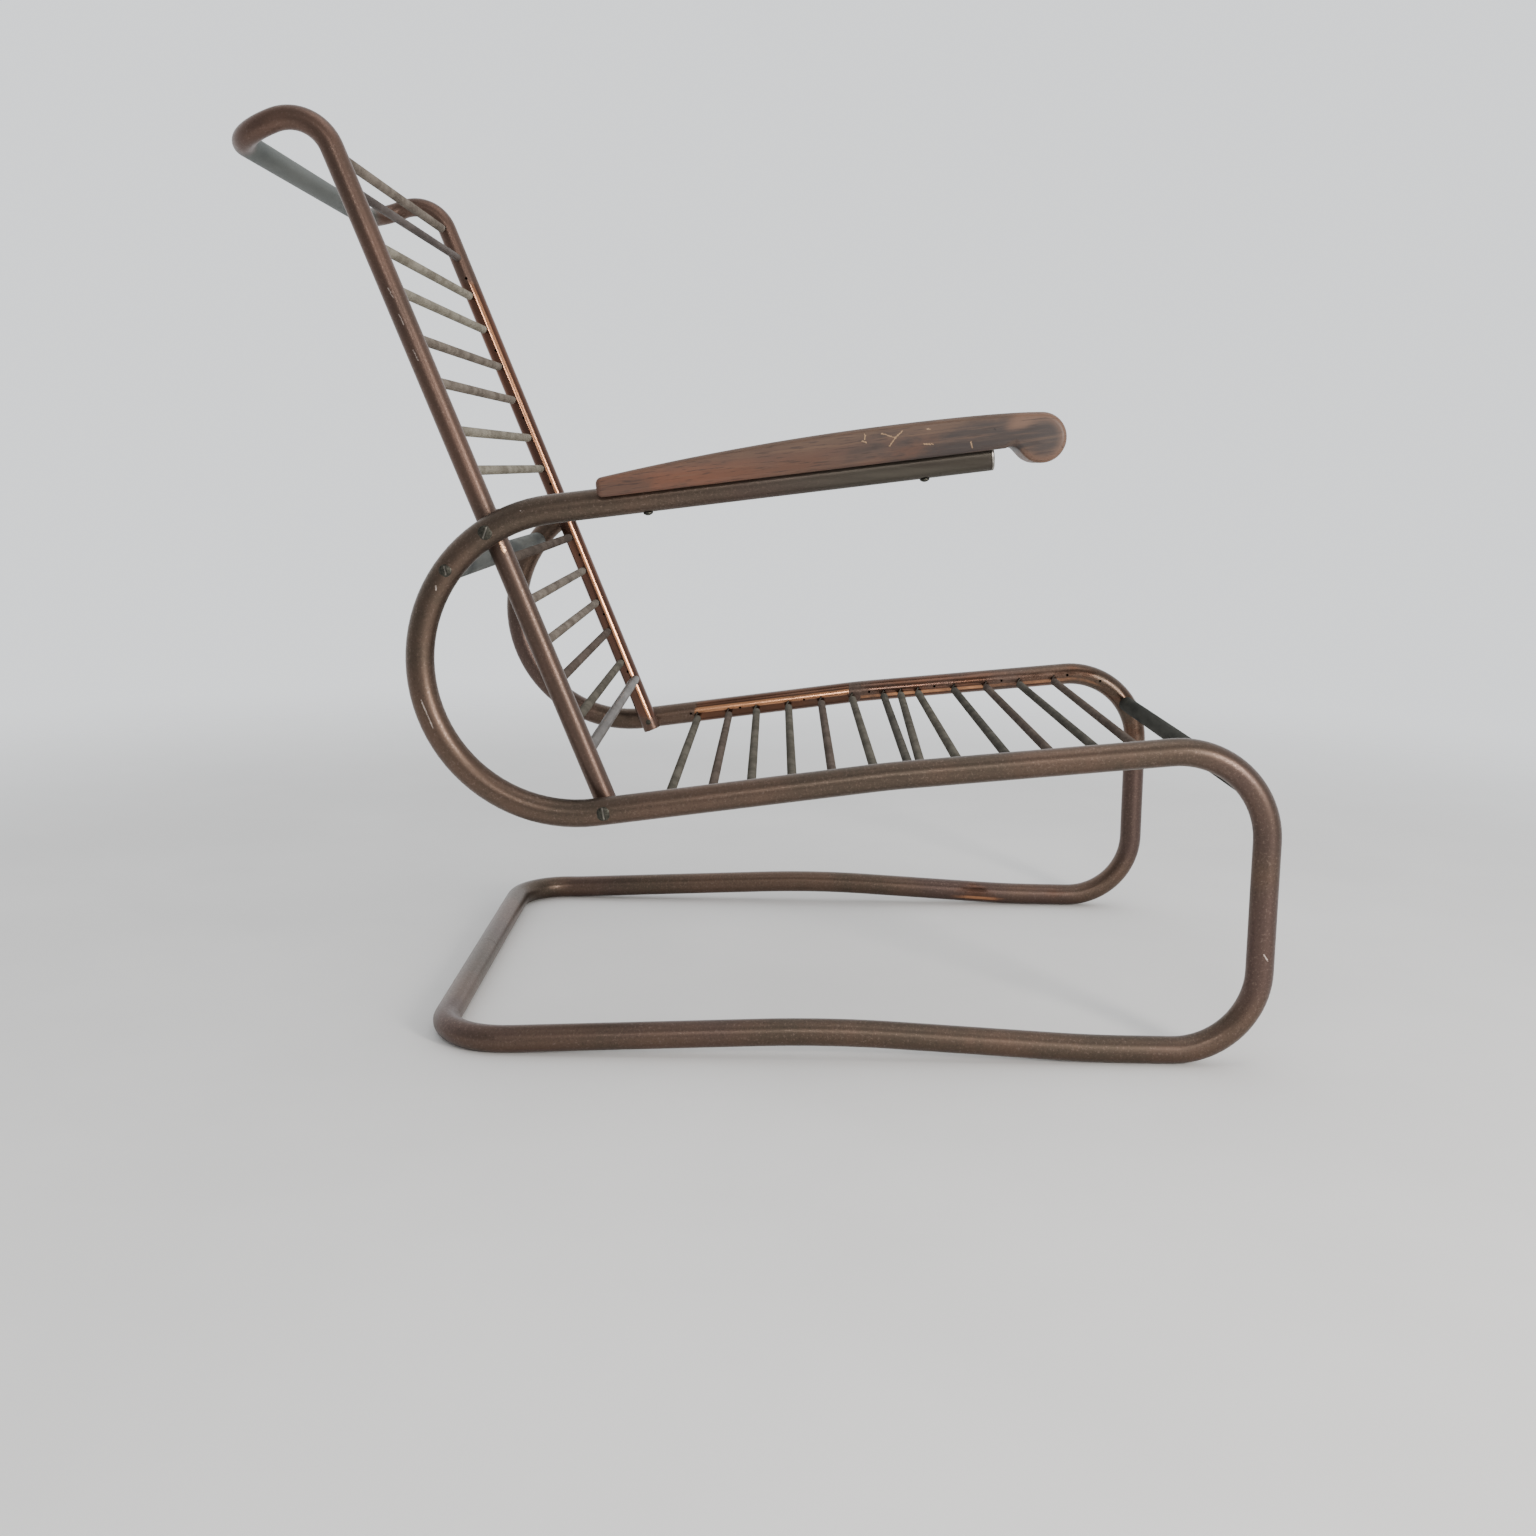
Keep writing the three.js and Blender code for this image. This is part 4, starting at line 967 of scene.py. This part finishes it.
def put_springs(view, pattern, hooks, half, rise, drop, names, looks):
    for name, (left, right), look in zip(names, hooks, looks):
        ends = view.place(left, half), view.place(right, -half)
        direction, side, risen = placed_between(*ends, view.direction(rise))
        placing = Matrix((side, direction, risen)).transposed().to_4x4()
        placing.translation = (ends[0] + ends[1]) / 2 - risen * drop
        piece = another(pattern, f"wound_{name}", placing)
        hand_over(piece, finish(look), "spring_steel", name)
    bpy.data.objects.remove(pattern)


class CHAIR_OT_seat_springs(Operator):
    """Winds the seat springs and hooks them into the rails"""

    bl_idname = "chair.seat_springs"
    bl_label = "Seat Springs"

    def execute(self, context):
        view = SideView(context.scene)
        drop = view.springs.seat_drop
        pattern = wound_spring(view, "seat_spring_pattern", view.half, view.side.tube, view.side.wall, drop)
        hooks = [(view.on_seat(left), view.on_seat(right)) for left, right in zip(*SEAT_SPRINGS.values())]
        names = [f"seat_spring_{index + 1:02d}" for index in range(len(hooks))]
        looks = (
            GREENISH, BROWNISH, GREENISH, GREENISH, BROWNISH, GREENISH, DARK, GREENISH, GREENISH, DARK, BROWNISH,
            DARK, BROWNISH,
        )
        put_springs(view, pattern, hooks, view.half, left_of(view.front_rail), drop, names, looks)
        return {"FINISHED"}


class CHAIR_OT_back_springs(Operator):
    """Winds the back springs and hooks them into the uprights"""

    bl_idname = "chair.back_springs"
    bl_label = "Back Springs"

    def execute(self, context):
        view = SideView(context.scene)
        drop = view.springs.back_drop
        pattern = wound_spring(view, "back_spring_pattern", view.back_half, view.back.tube, view.back.wall, drop)
        hooks = [(view.on_back(place), view.on_back(place)) for place in BACK_SPRINGS]
        names = [f"back_spring_{index + 1:02d}" for index in range(len(BACK_SPRINGS))]
        looks = (GREENISH, BROWNISH, TAN, TAN, BROWNISH, TAN, PALE, PALE, TAN, TAN, PALE, PALE, TAN)
        put_springs(view, pattern, hooks, view.back_half, view.ahead, drop, names, looks)
        return {"FINISHED"}


class ArmrestSizes(PropertyGroup):
    width: length("Width", "Width of a wooden arm", 0.048)
    rear_back: length("Rear end", "Rear end, behind the kink along the arm", 0.2555)
    rear_height: length("Rear height", "Height of the rear end over the tube's axis", 0.021)
    crown: length("Crown height", "Height of the crown over the tube's axis", 0.0353)
    seam: length("Seam height", "Lower edge of the wood over the tube's axis", 0.0047)
    nose_reach: length("Nose place", "Centre of the scrolled nose, before the kink along the arm", 0.121)
    nose_height: length("Nose height", "Centre of the nose over the tube's axis", 0.0101)
    nose_radius: length("Nose radius", "Radius of the nose", 0.021)
    nose_start: angle("Nose start", "Where the nose's round meets the top", 83)
    nose_end: angle("Nose end", "Where the nose's round meets the notch", -140)
    seam_reach: length("Seam end", "Where the lower edge turns up to the notch", 0.09)
    notch_reach: length("Notch place", "Top of the notch behind the nose", 0.0973)
    notch_height: length("Notch height", "Top of the notch over the tube's axis", 0.0069)
    edge: length("Edge radius", "Rounding of the long edges", 0.005)


def armrest_outline(view, sizes):
    """The arm's side view along the arm: rear end, seam, notch, nose and crown."""
    rear, front = -sizes.rear_back, sizes.nose_reach
    nose = Vector((sizes.nose_reach, sizes.nose_height))
    points = [Vector((rear, sizes.seam)), Vector((sizes.seam_reach, sizes.seam))]
    points.append(Vector((sizes.notch_reach, sizes.notch_height)))
    steps = 36
    for count in range(steps + 1):
        turn = sizes.nose_end + (sizes.nose_start - sizes.nose_end) * count / steps
        points.append(nose + along(turn) * sizes.nose_radius)
    start = points[-1]
    crown = Vector((0, sizes.crown))

    def curve(begin, middle, end, count):
        for index in range(1, count + 1):
            t = index / count
            points.append(begin * (1 - t) ** 2 + middle * 2 * t * (1 - t) + end * t ** 2)

    curve(start, Vector((start.x * 0.71, sizes.crown)), crown, 14)
    curve(crown, Vector((rear * 0.49, sizes.crown)), Vector((rear, sizes.rear_height)), 26)
    return points


class CHAIR_OT_armrests(Operator):
    """Carves the wooden arms and grooves them over the arm tubes"""

    bl_idname = "chair.armrests"
    bl_label = "Wooden Arms"

    def execute(self, context):
        view = SideView(context.scene)
        sizes, screws = context.scene.chair_armrests, context.scene.chair_fasteners
        outline = armrest_outline(view, sizes)
        for name, sign in SIDES:
            y = sign * view.half - sizes.width / 2
            at = [view.place(view.on_arm(point.x, point.y), y) for point in outline]
            deselect_all()
            bpy.ops.mesh.primitive_circle_add(vertices=len(at), radius=sizes.nose_radius, fill_type="NOTHING")
            wood = settle()
            wood.name = f"carved_armrest_{name}"
            for vertex, point in zip(wood.data.vertices, at):
                vertex.co = point
            edit(wood)
            bpy.ops.mesh.edge_face_add()
            bpy.ops.mesh.extrude_region_move(TRANSFORM_OT_translate={"value": ACROSS * sizes.width})
            tidy(1e-6)
            leave_edit()
            apply_modifier(
                wood, "BEVEL", width=sizes.edge, segments=6, limit_method="ANGLE", angle_limit=radians(60),
                harden_normals=False,
            )
            corners = side_frame_corners(view, sign)
            cut(wood, [bent_bar(corners[:3], view.side.tube / 2 + CLEARANCE, 48)])
            smooth(wood)
            hand_over(wood, finish("worn_wood"), "worn_wood", f"armrest_{name}")
        return {"FINISHED"}


class FastenerSizes(PropertyGroup):
    bolt: length("Bolt diameter", "Shank of the back bolts and brace screws", 0.006)
    bolt_head: length("Bolt head diameter", "Head of the back bolts", 0.0124)
    brace_head: length("Brace screw head diameter", "Head of the brace screws", 0.011)
    head_height: length("Head height", "Height of the slotted heads", 0.0022)
    head_seat: length("Head seat depth", "Flat seat of a head in the tube", 0.0011)
    nut: length("Nut diameter", "Round nuts of the back bolts", 0.01)
    nut_height: length("Nut height", "Height of the nuts", 0.0024)
    nut_seat: length("Nut seat depth", "Flat seat of a nut in the upright", 0.0009)
    spacer: length("Spacer diameter", "Saddle washers between frame and upright", 0.013)
    slot: length("Slot width", "Slots of the heads", 0.0015)
    slot_depth: length("Slot depth", "Depth of the slots", 0.0012)
    slot_tilt: angle("Slot tilt", "Slots' lean from upright", 10)
    arm_screw: length("Arm screw diameter", "Shank of the screws into the arms", 0.004)
    arm_head: length("Arm screw head diameter", "Head of the screws into the arms", 0.0084)
    arm_head_height: length("Arm screw head height", "Height of those heads", 0.0028)
    arm_screw_depth: length("Arm screw depth", "Reach of those screws over the tube's axis", 0.022)
    arm_rear_back: length("Rear arm screw place", "Rear screw, behind the kink along the arm", 0.216)
    arm_front_reach: length("Front arm screw place", "Front screw, before the kink along the arm", 0.022)


def slotted_screw(name, shank, reach, head, height, sizes):
    """A slotted screw whose head faces +Z over the origin: a turned profile, then its slot."""
    deselect_all()
    bpy.ops.mesh.primitive_circle_add(vertices=40, radius=shank / 2, location=(0, 0, -reach))
    screw = settle()
    screw.name = name
    edit(screw)
    bpy.ops.mesh.extrude_region_move(TRANSFORM_OT_translate={"value": (0, 0, reach)})
    bpy.ops.mesh.extrude_region_move()
    bpy.ops.transform.resize(value=(head / shank, head / shank, 1))
    rim = height * 0.35
    bpy.ops.mesh.extrude_region_move(TRANSFORM_OT_translate={"value": (0, 0, rim)})
    dome = height - rim
    radius = ((head / 2) ** 2 + dome ** 2) / (2 * dome)
    steps = 7
    past = head / 2
    for count in range(1, steps + 1):
        out = head / 2 * (1 - count / (steps + 0.5))
        rise = sqrt(radius ** 2 - out ** 2) - sqrt(radius ** 2 - past ** 2)
        bpy.ops.mesh.extrude_region_move(TRANSFORM_OT_translate={"value": (0, 0, rise)})
        bpy.ops.transform.resize(value=(out / past, out / past, 1))
        past = out
    close_ends()
    tidy(1e-7)
    leave_edit()
    deselect_all()
    bpy.ops.mesh.primitive_cube_add(size=1, location=(0, 0, height), scale=(sizes.slot, head * 1.2, sizes.slot_depth * 2))
    cut(screw, [settle()])
    apply_modifier(
        screw, "BEVEL", width=0.00012, segments=2, limit_method="ANGLE", angle_limit=radians(50),
        use_clamp_overlap=True,
    )
    smooth(screw, 40)
    return screw


def place_screw(pattern, name, at, direction, tilt=0.0):
    """A copy of a screw on its seat, its slot leaning by the tilt from upright."""
    up = UPRIGHT - direction * UPRIGHT.dot(direction)
    if up.length < 1e-3:
        up = Vector((1, 0, 0))
    up = Matrix.Rotation(tilt, 3, direction) @ up.normalized()
    across = up.cross(direction)
    placing = Matrix((across, up, direction)).transposed().to_4x4()
    placing.translation = at
    return another(pattern, name, placing)


class CHAIR_OT_back_bolts(Operator):
    """Puts in the bolts, round nuts and saddle washers that hold the back"""

    bl_idname = "chair.back_bolts"
    bl_label = "Back Bolts"

    def execute(self, context):
        view = SideView(context.scene)
        screws = context.scene.chair_fasteners
        seat = view.half + view.side.tube / 2 - screws.head_seat
        nut_seat = view.back_half - view.back.tube / 2 + screws.nut_seat
        reach = seat - nut_seat + screws.nut_height
        pattern = slotted_screw("bolt_pattern", screws.bolt, reach, screws.bolt_head, screws.head_height, screws)
        nut = ring("nut_pattern", screws.bolt / 2, 40, Vector(), UPRIGHT)
        bpy.ops.mesh.extrude_region_move()
        bpy.ops.transform.resize(value=(screws.nut / screws.bolt, screws.nut / screws.bolt, 1))
        bpy.ops.mesh.extrude_region_move(TRANSFORM_OT_translate={"value": (0, 0, screws.nut_height)})
        bpy.ops.mesh.extrude_region_move()
        bpy.ops.transform.resize(value=(screws.bolt / screws.nut, screws.bolt / screws.nut, 1))
        bpy.ops.mesh.select_all(action="SELECT")
        bpy.ops.mesh.remove_doubles(threshold=1e-7)
        bpy.ops.mesh.select_non_manifold()
        bpy.ops.mesh.bridge_edge_loops()
        tidy(1e-7)
        leave_edit()
        apply_modifier(nut, "BEVEL", width=0.0004, segments=3, limit_method="ANGLE", angle_limit=radians(50))
        smooth(nut, 40)
        steel = finish("screw_steel")
        for side_name, sign in SIDES:
            outward = ACROSS * sign
            loop = side_frame_corners(view, sign)[:4]
            for name, point in (("lower", view.lower_bolt), ("upper", view.upper_bolt)):
                tag = f"{name}_{side_name}"
                tilt = screws.slot_tilt * (1 if name == "lower" else -2)
                bolt = place_screw(pattern, f"slotted_back_bolt_{tag}", view.place(point, sign * seat), outward, tilt)
                hand_over(bolt, steel, "screw_steel", f"back_bolt_{tag}")
                round_nut = place_screw(nut, f"round_back_nut_{tag}", view.place(point, sign * nut_seat), -outward)
                hand_over(round_nut, steel, "screw_steel", f"back_nut_{tag}")
                washer = rod(screws.spacer / 2, 48, view.place(point, sign * view.back_half), view.place(point, sign * view.half))
                washer.name = f"saddle_back_spacer_{tag}"
                cutters = [bent_bar(loop, view.side.tube / 2 + CLEARANCE)]
                cutters.append(upright_bar(view, sign, view.back.tube / 2 + CLEARANCE))
                cutters.append(through_hole(view, point, sign, view.half, view.side.spacing / 4, screws.bolt + 2 * CLEARANCE))
                cut(washer, cutters)
                smooth(washer)
                hand_over(washer, steel, "screw_steel", f"back_spacer_{tag}")
        bpy.data.objects.remove(pattern)
        bpy.data.objects.remove(nut)
        return {"FINISHED"}


class CHAIR_OT_frame_screws(Operator):
    """Puts in the brace screws, the screws of the wooden arms and the plugs of the arm tubes"""

    bl_idname = "chair.frame_screws"
    bl_label = "Screws and Plugs"

    def execute(self, context):
        view = SideView(context.scene)
        screws = context.scene.chair_fasteners
        steel = finish("screw_steel")
        seat = view.half + view.side.tube / 2 - screws.head_seat
        brace = slotted_screw("brace_pattern", screws.bolt, view.side.tube + 0.024, screws.brace_head, screws.head_height, screws)
        length_in = screws.arm_screw_depth + view.side.tube / 2
        arm = slotted_screw("arm_pattern", screws.arm_screw, length_in, screws.arm_head, screws.arm_head_height, screws)
        down = -view.direction(left_of(view.arm))
        for name, sign in SIDES:
            at = view.place(view.brace, sign * seat)
            piece = place_screw(brace, f"slotted_brace_screw_{name}", at, ACROSS * sign, screws.slot_tilt)
            hand_over(piece, steel, "screw_steel", f"brace_screw_{name}")
            for place, reach in (("rear", -screws.arm_rear_back), ("front", screws.arm_front_reach)):
                at = view.place(view.on_arm(reach, -view.side.tube / 2), sign * view.half)
                piece = place_screw(arm, f"slotted_arm_screw_{place}_{name}", at, down)
                hand_over(piece, steel, "screw_steel", f"arm_screw_{place}_{name}")
            plug = self.plug(view, name, sign)
            hand_over(plug, finish("bright_plug"), "bright_plug", f"arm_tube_plug_{name}")
        bpy.data.objects.remove(brace)
        bpy.data.objects.remove(arm)
        return {"FINISHED"}

    def plug(self, view, name, sign):
        """A spigot in the bore, then a rounded rim and a low dome over the tube's end."""
        forward = view.direction(view.arm)
        end = view.place(view.arm_end, sign * view.half) + forward * CLEARANCE
        bore = view.side.tube / 2 - view.side.wall - CLEARANCE
        rim = view.side.tube / 2
        plug = ring(f"domed_arm_tube_plug_{name}", bore, 48, end - forward * 0.014, forward)
        push(forward * 0.014, 0.014)
        for forwards, radius, past in (
            (0, rim * 0.97, bore), (0.0003, rim, rim * 0.97), (0.001, rim, rim), (0.0007, rim * 0.955, rim),
            (0.0005, rim * 0.86, rim * 0.955), (0.0005, rim * 0.66, rim * 0.86), (0.0003, rim * 0.36, rim * 0.66),
            (0.0001, rim * 0.1, rim * 0.36),
        ):
            bpy.ops.mesh.extrude_region_move(TRANSFORM_OT_translate={"value": forward * forwards})
            end += forward * forwards
            bpy.ops.transform.resize(value=(radius / past,) * 3, center_override=end)
        close_ends()
        tidy(1e-7)
        leave_edit()
        smooth(plug, 50)
        return plug


class CHAIR_OT_studio(Operator):
    """Sets up the camera, the plain pale floor and the soft studio light"""

    bl_idname = "chair.studio"
    bl_label = "Studio"

    def execute(self, context):
        settings = context.scene.chair_studio
        self.camera(context.scene, settings)
        self.floor(settings)
        self.surroundings(context.scene, settings)
        target = Vector((0, 0, 0.4))
        for name, at, size, tint in (
            ("window", (1.75, -2.09, 1.03), (0.45, 0.8), (1.0, 0.95, 0.9)),
            ("front", (0.14, -2.63, 1.36), (0.45, 0.35), (1.0, 0.97, 0.94)),
            ("low", (1.15, -2.45, 0.25), (1.3, 0.4), (1.0, 0.96, 0.92)),
            ("ceiling", (0.5, -0.4, 2.8), (1.6, 1.6), (1.0, 0.98, 0.96)),
        ):
            self.light(name, Vector(at), target, size, getattr(settings, f"{name}_power"), tint)
        return {"FINISHED"}

    def floor(self, settings):
        """A pale floor round the chair that passes into the pale surroundings."""
        deselect_all()
        bpy.ops.mesh.primitive_circle_add(vertices=128, radius=settings.floor_radius, fill_type="NGON")
        floor = settle()
        floor.name = "pale_floor"
        f = Finish("pale_floor")
        pale = tuple(settings.floor_colour)
        base = f.mix(f.between(f.noise(3, detail=4), 0.3, 0.7), pale, tuple(0.95 * part for part in pale))
        floor.data.materials.append(f.surface(base, 0.8, 0.0))
        out = f.vector("LENGTH", f.place, output="Value")
        f.join(f.between(out, settings.floor_radius, settings.floor_radius * 0.4), f.shader.inputs["Alpha"])

    def surroundings(self, scene, settings):
        """Soft light from all round, brighter behind the chair than before it."""
        world = bpy.data.worlds.new("studio")
        world.use_nodes = True
        sky = Nodes(world.node_tree)
        behind = sky.axes(sky.place)[1]
        power = sky.between(behind, -0.8, 0.8, settings.room_power, settings.wall_power)
        background = world.node_tree.nodes["Background"]
        background.inputs["Color"].default_value = (0.95, 0.975, 1.0, 1)
        sky.join(power, background.inputs["Strength"])
        scene.world = world

    def camera(self, scene, settings):
        yaw, pitch, roll = settings.camera_yaw, settings.camera_pitch, settings.camera_roll
        forward = Vector((sin(yaw) * cos(pitch), cos(yaw) * cos(pitch), sin(pitch)))
        right = Vector((cos(yaw), -sin(yaw), 0))
        up = right.cross(forward)
        level, rise = right * cos(roll) + up * sin(roll), up * cos(roll) - right * sin(roll)
        lens = bpy.data.cameras.new("camera")
        lens.lens, lens.sensor_width = settings.lens, 36
        lens.clip_end = 50
        camera = bpy.data.objects.new("camera", lens)
        placing = Matrix((level, rise, -forward)).transposed().to_4x4()
        placing.translation = Vector(settings.camera_place)
        camera.matrix_world = placing
        scene.collection.objects.link(camera)
        scene.camera = camera

    def light(self, name, at, target, size, power, tint):
        lamp = bpy.data.lights.new(name, "AREA")
        lamp.shape = "RECTANGLE"
        lamp.size, lamp.size_y = size
        lamp.energy, lamp.color = power, tint
        piece = bpy.data.objects.new(name, lamp)
        piece.location = at
        piece.rotation_euler = (target - Vector(at)).to_track_quat("-Z", "Y").to_euler()
        bpy.context.scene.collection.objects.link(piece)


OPERATORS = (
    CHAIR_OT_studio,
    CHAIR_OT_side_frames,
    CHAIR_OT_cross_members,
    CHAIR_OT_back_frame,
    CHAIR_OT_back_stays,
    CHAIR_OT_seat_springs,
    CHAIR_OT_back_springs,
    CHAIR_OT_armrests,
    CHAIR_OT_back_bolts,
    CHAIR_OT_frame_screws,
)


class CHAIR_PT_lounge_chair(Panel):
    """Lists the steps of the lounge chair"""

    bl_idname = "CHAIR_PT_lounge_chair"
    bl_label = "Lounge Chair"
    bl_space_type = "VIEW_3D"
    bl_region_type = "UI"
    bl_category = "Lounge Chair"

    def draw(self, context):
        for step in OPERATORS:
            self.layout.operator(step.bl_idname)
        for name in SETTINGS:
            box = self.layout.box()
            group = getattr(context.scene, name)
            for size in group.bl_rna.properties:
                if size.identifier in group.__annotations__:
                    box.prop(group, size.identifier)


SETTINGS = {
    "chair_side_frame": SideFrameSizes,
    "chair_back_frame": BackFrameSizes,
    "chair_cross_members": CrossMemberSizes,
    "chair_springs": SpringSizes,
    "chair_armrests": ArmrestSizes,
    "chair_fasteners": FastenerSizes,
    "chair_studio": StudioSettings,
}


def register():
    for group in (*SETTINGS.values(), *OPERATORS, CHAIR_PT_lounge_chair):
        bpy.utils.register_class(group)
    for name, group in SETTINGS.items():
        setattr(bpy.types.Scene, name, PointerProperty(type=group))


def unregister():
    for name in SETTINGS:
        delattr(bpy.types.Scene, name)
    for group in reversed((*SETTINGS.values(), *OPERATORS, CHAIR_PT_lounge_chair)):
        bpy.utils.unregister_class(group)


def main():
    register()
    for step in OPERATORS:
        family, name = step.bl_idname.split(".")
        getattr(getattr(bpy.ops, family), name)()


if __name__ == "__main__":
    main()
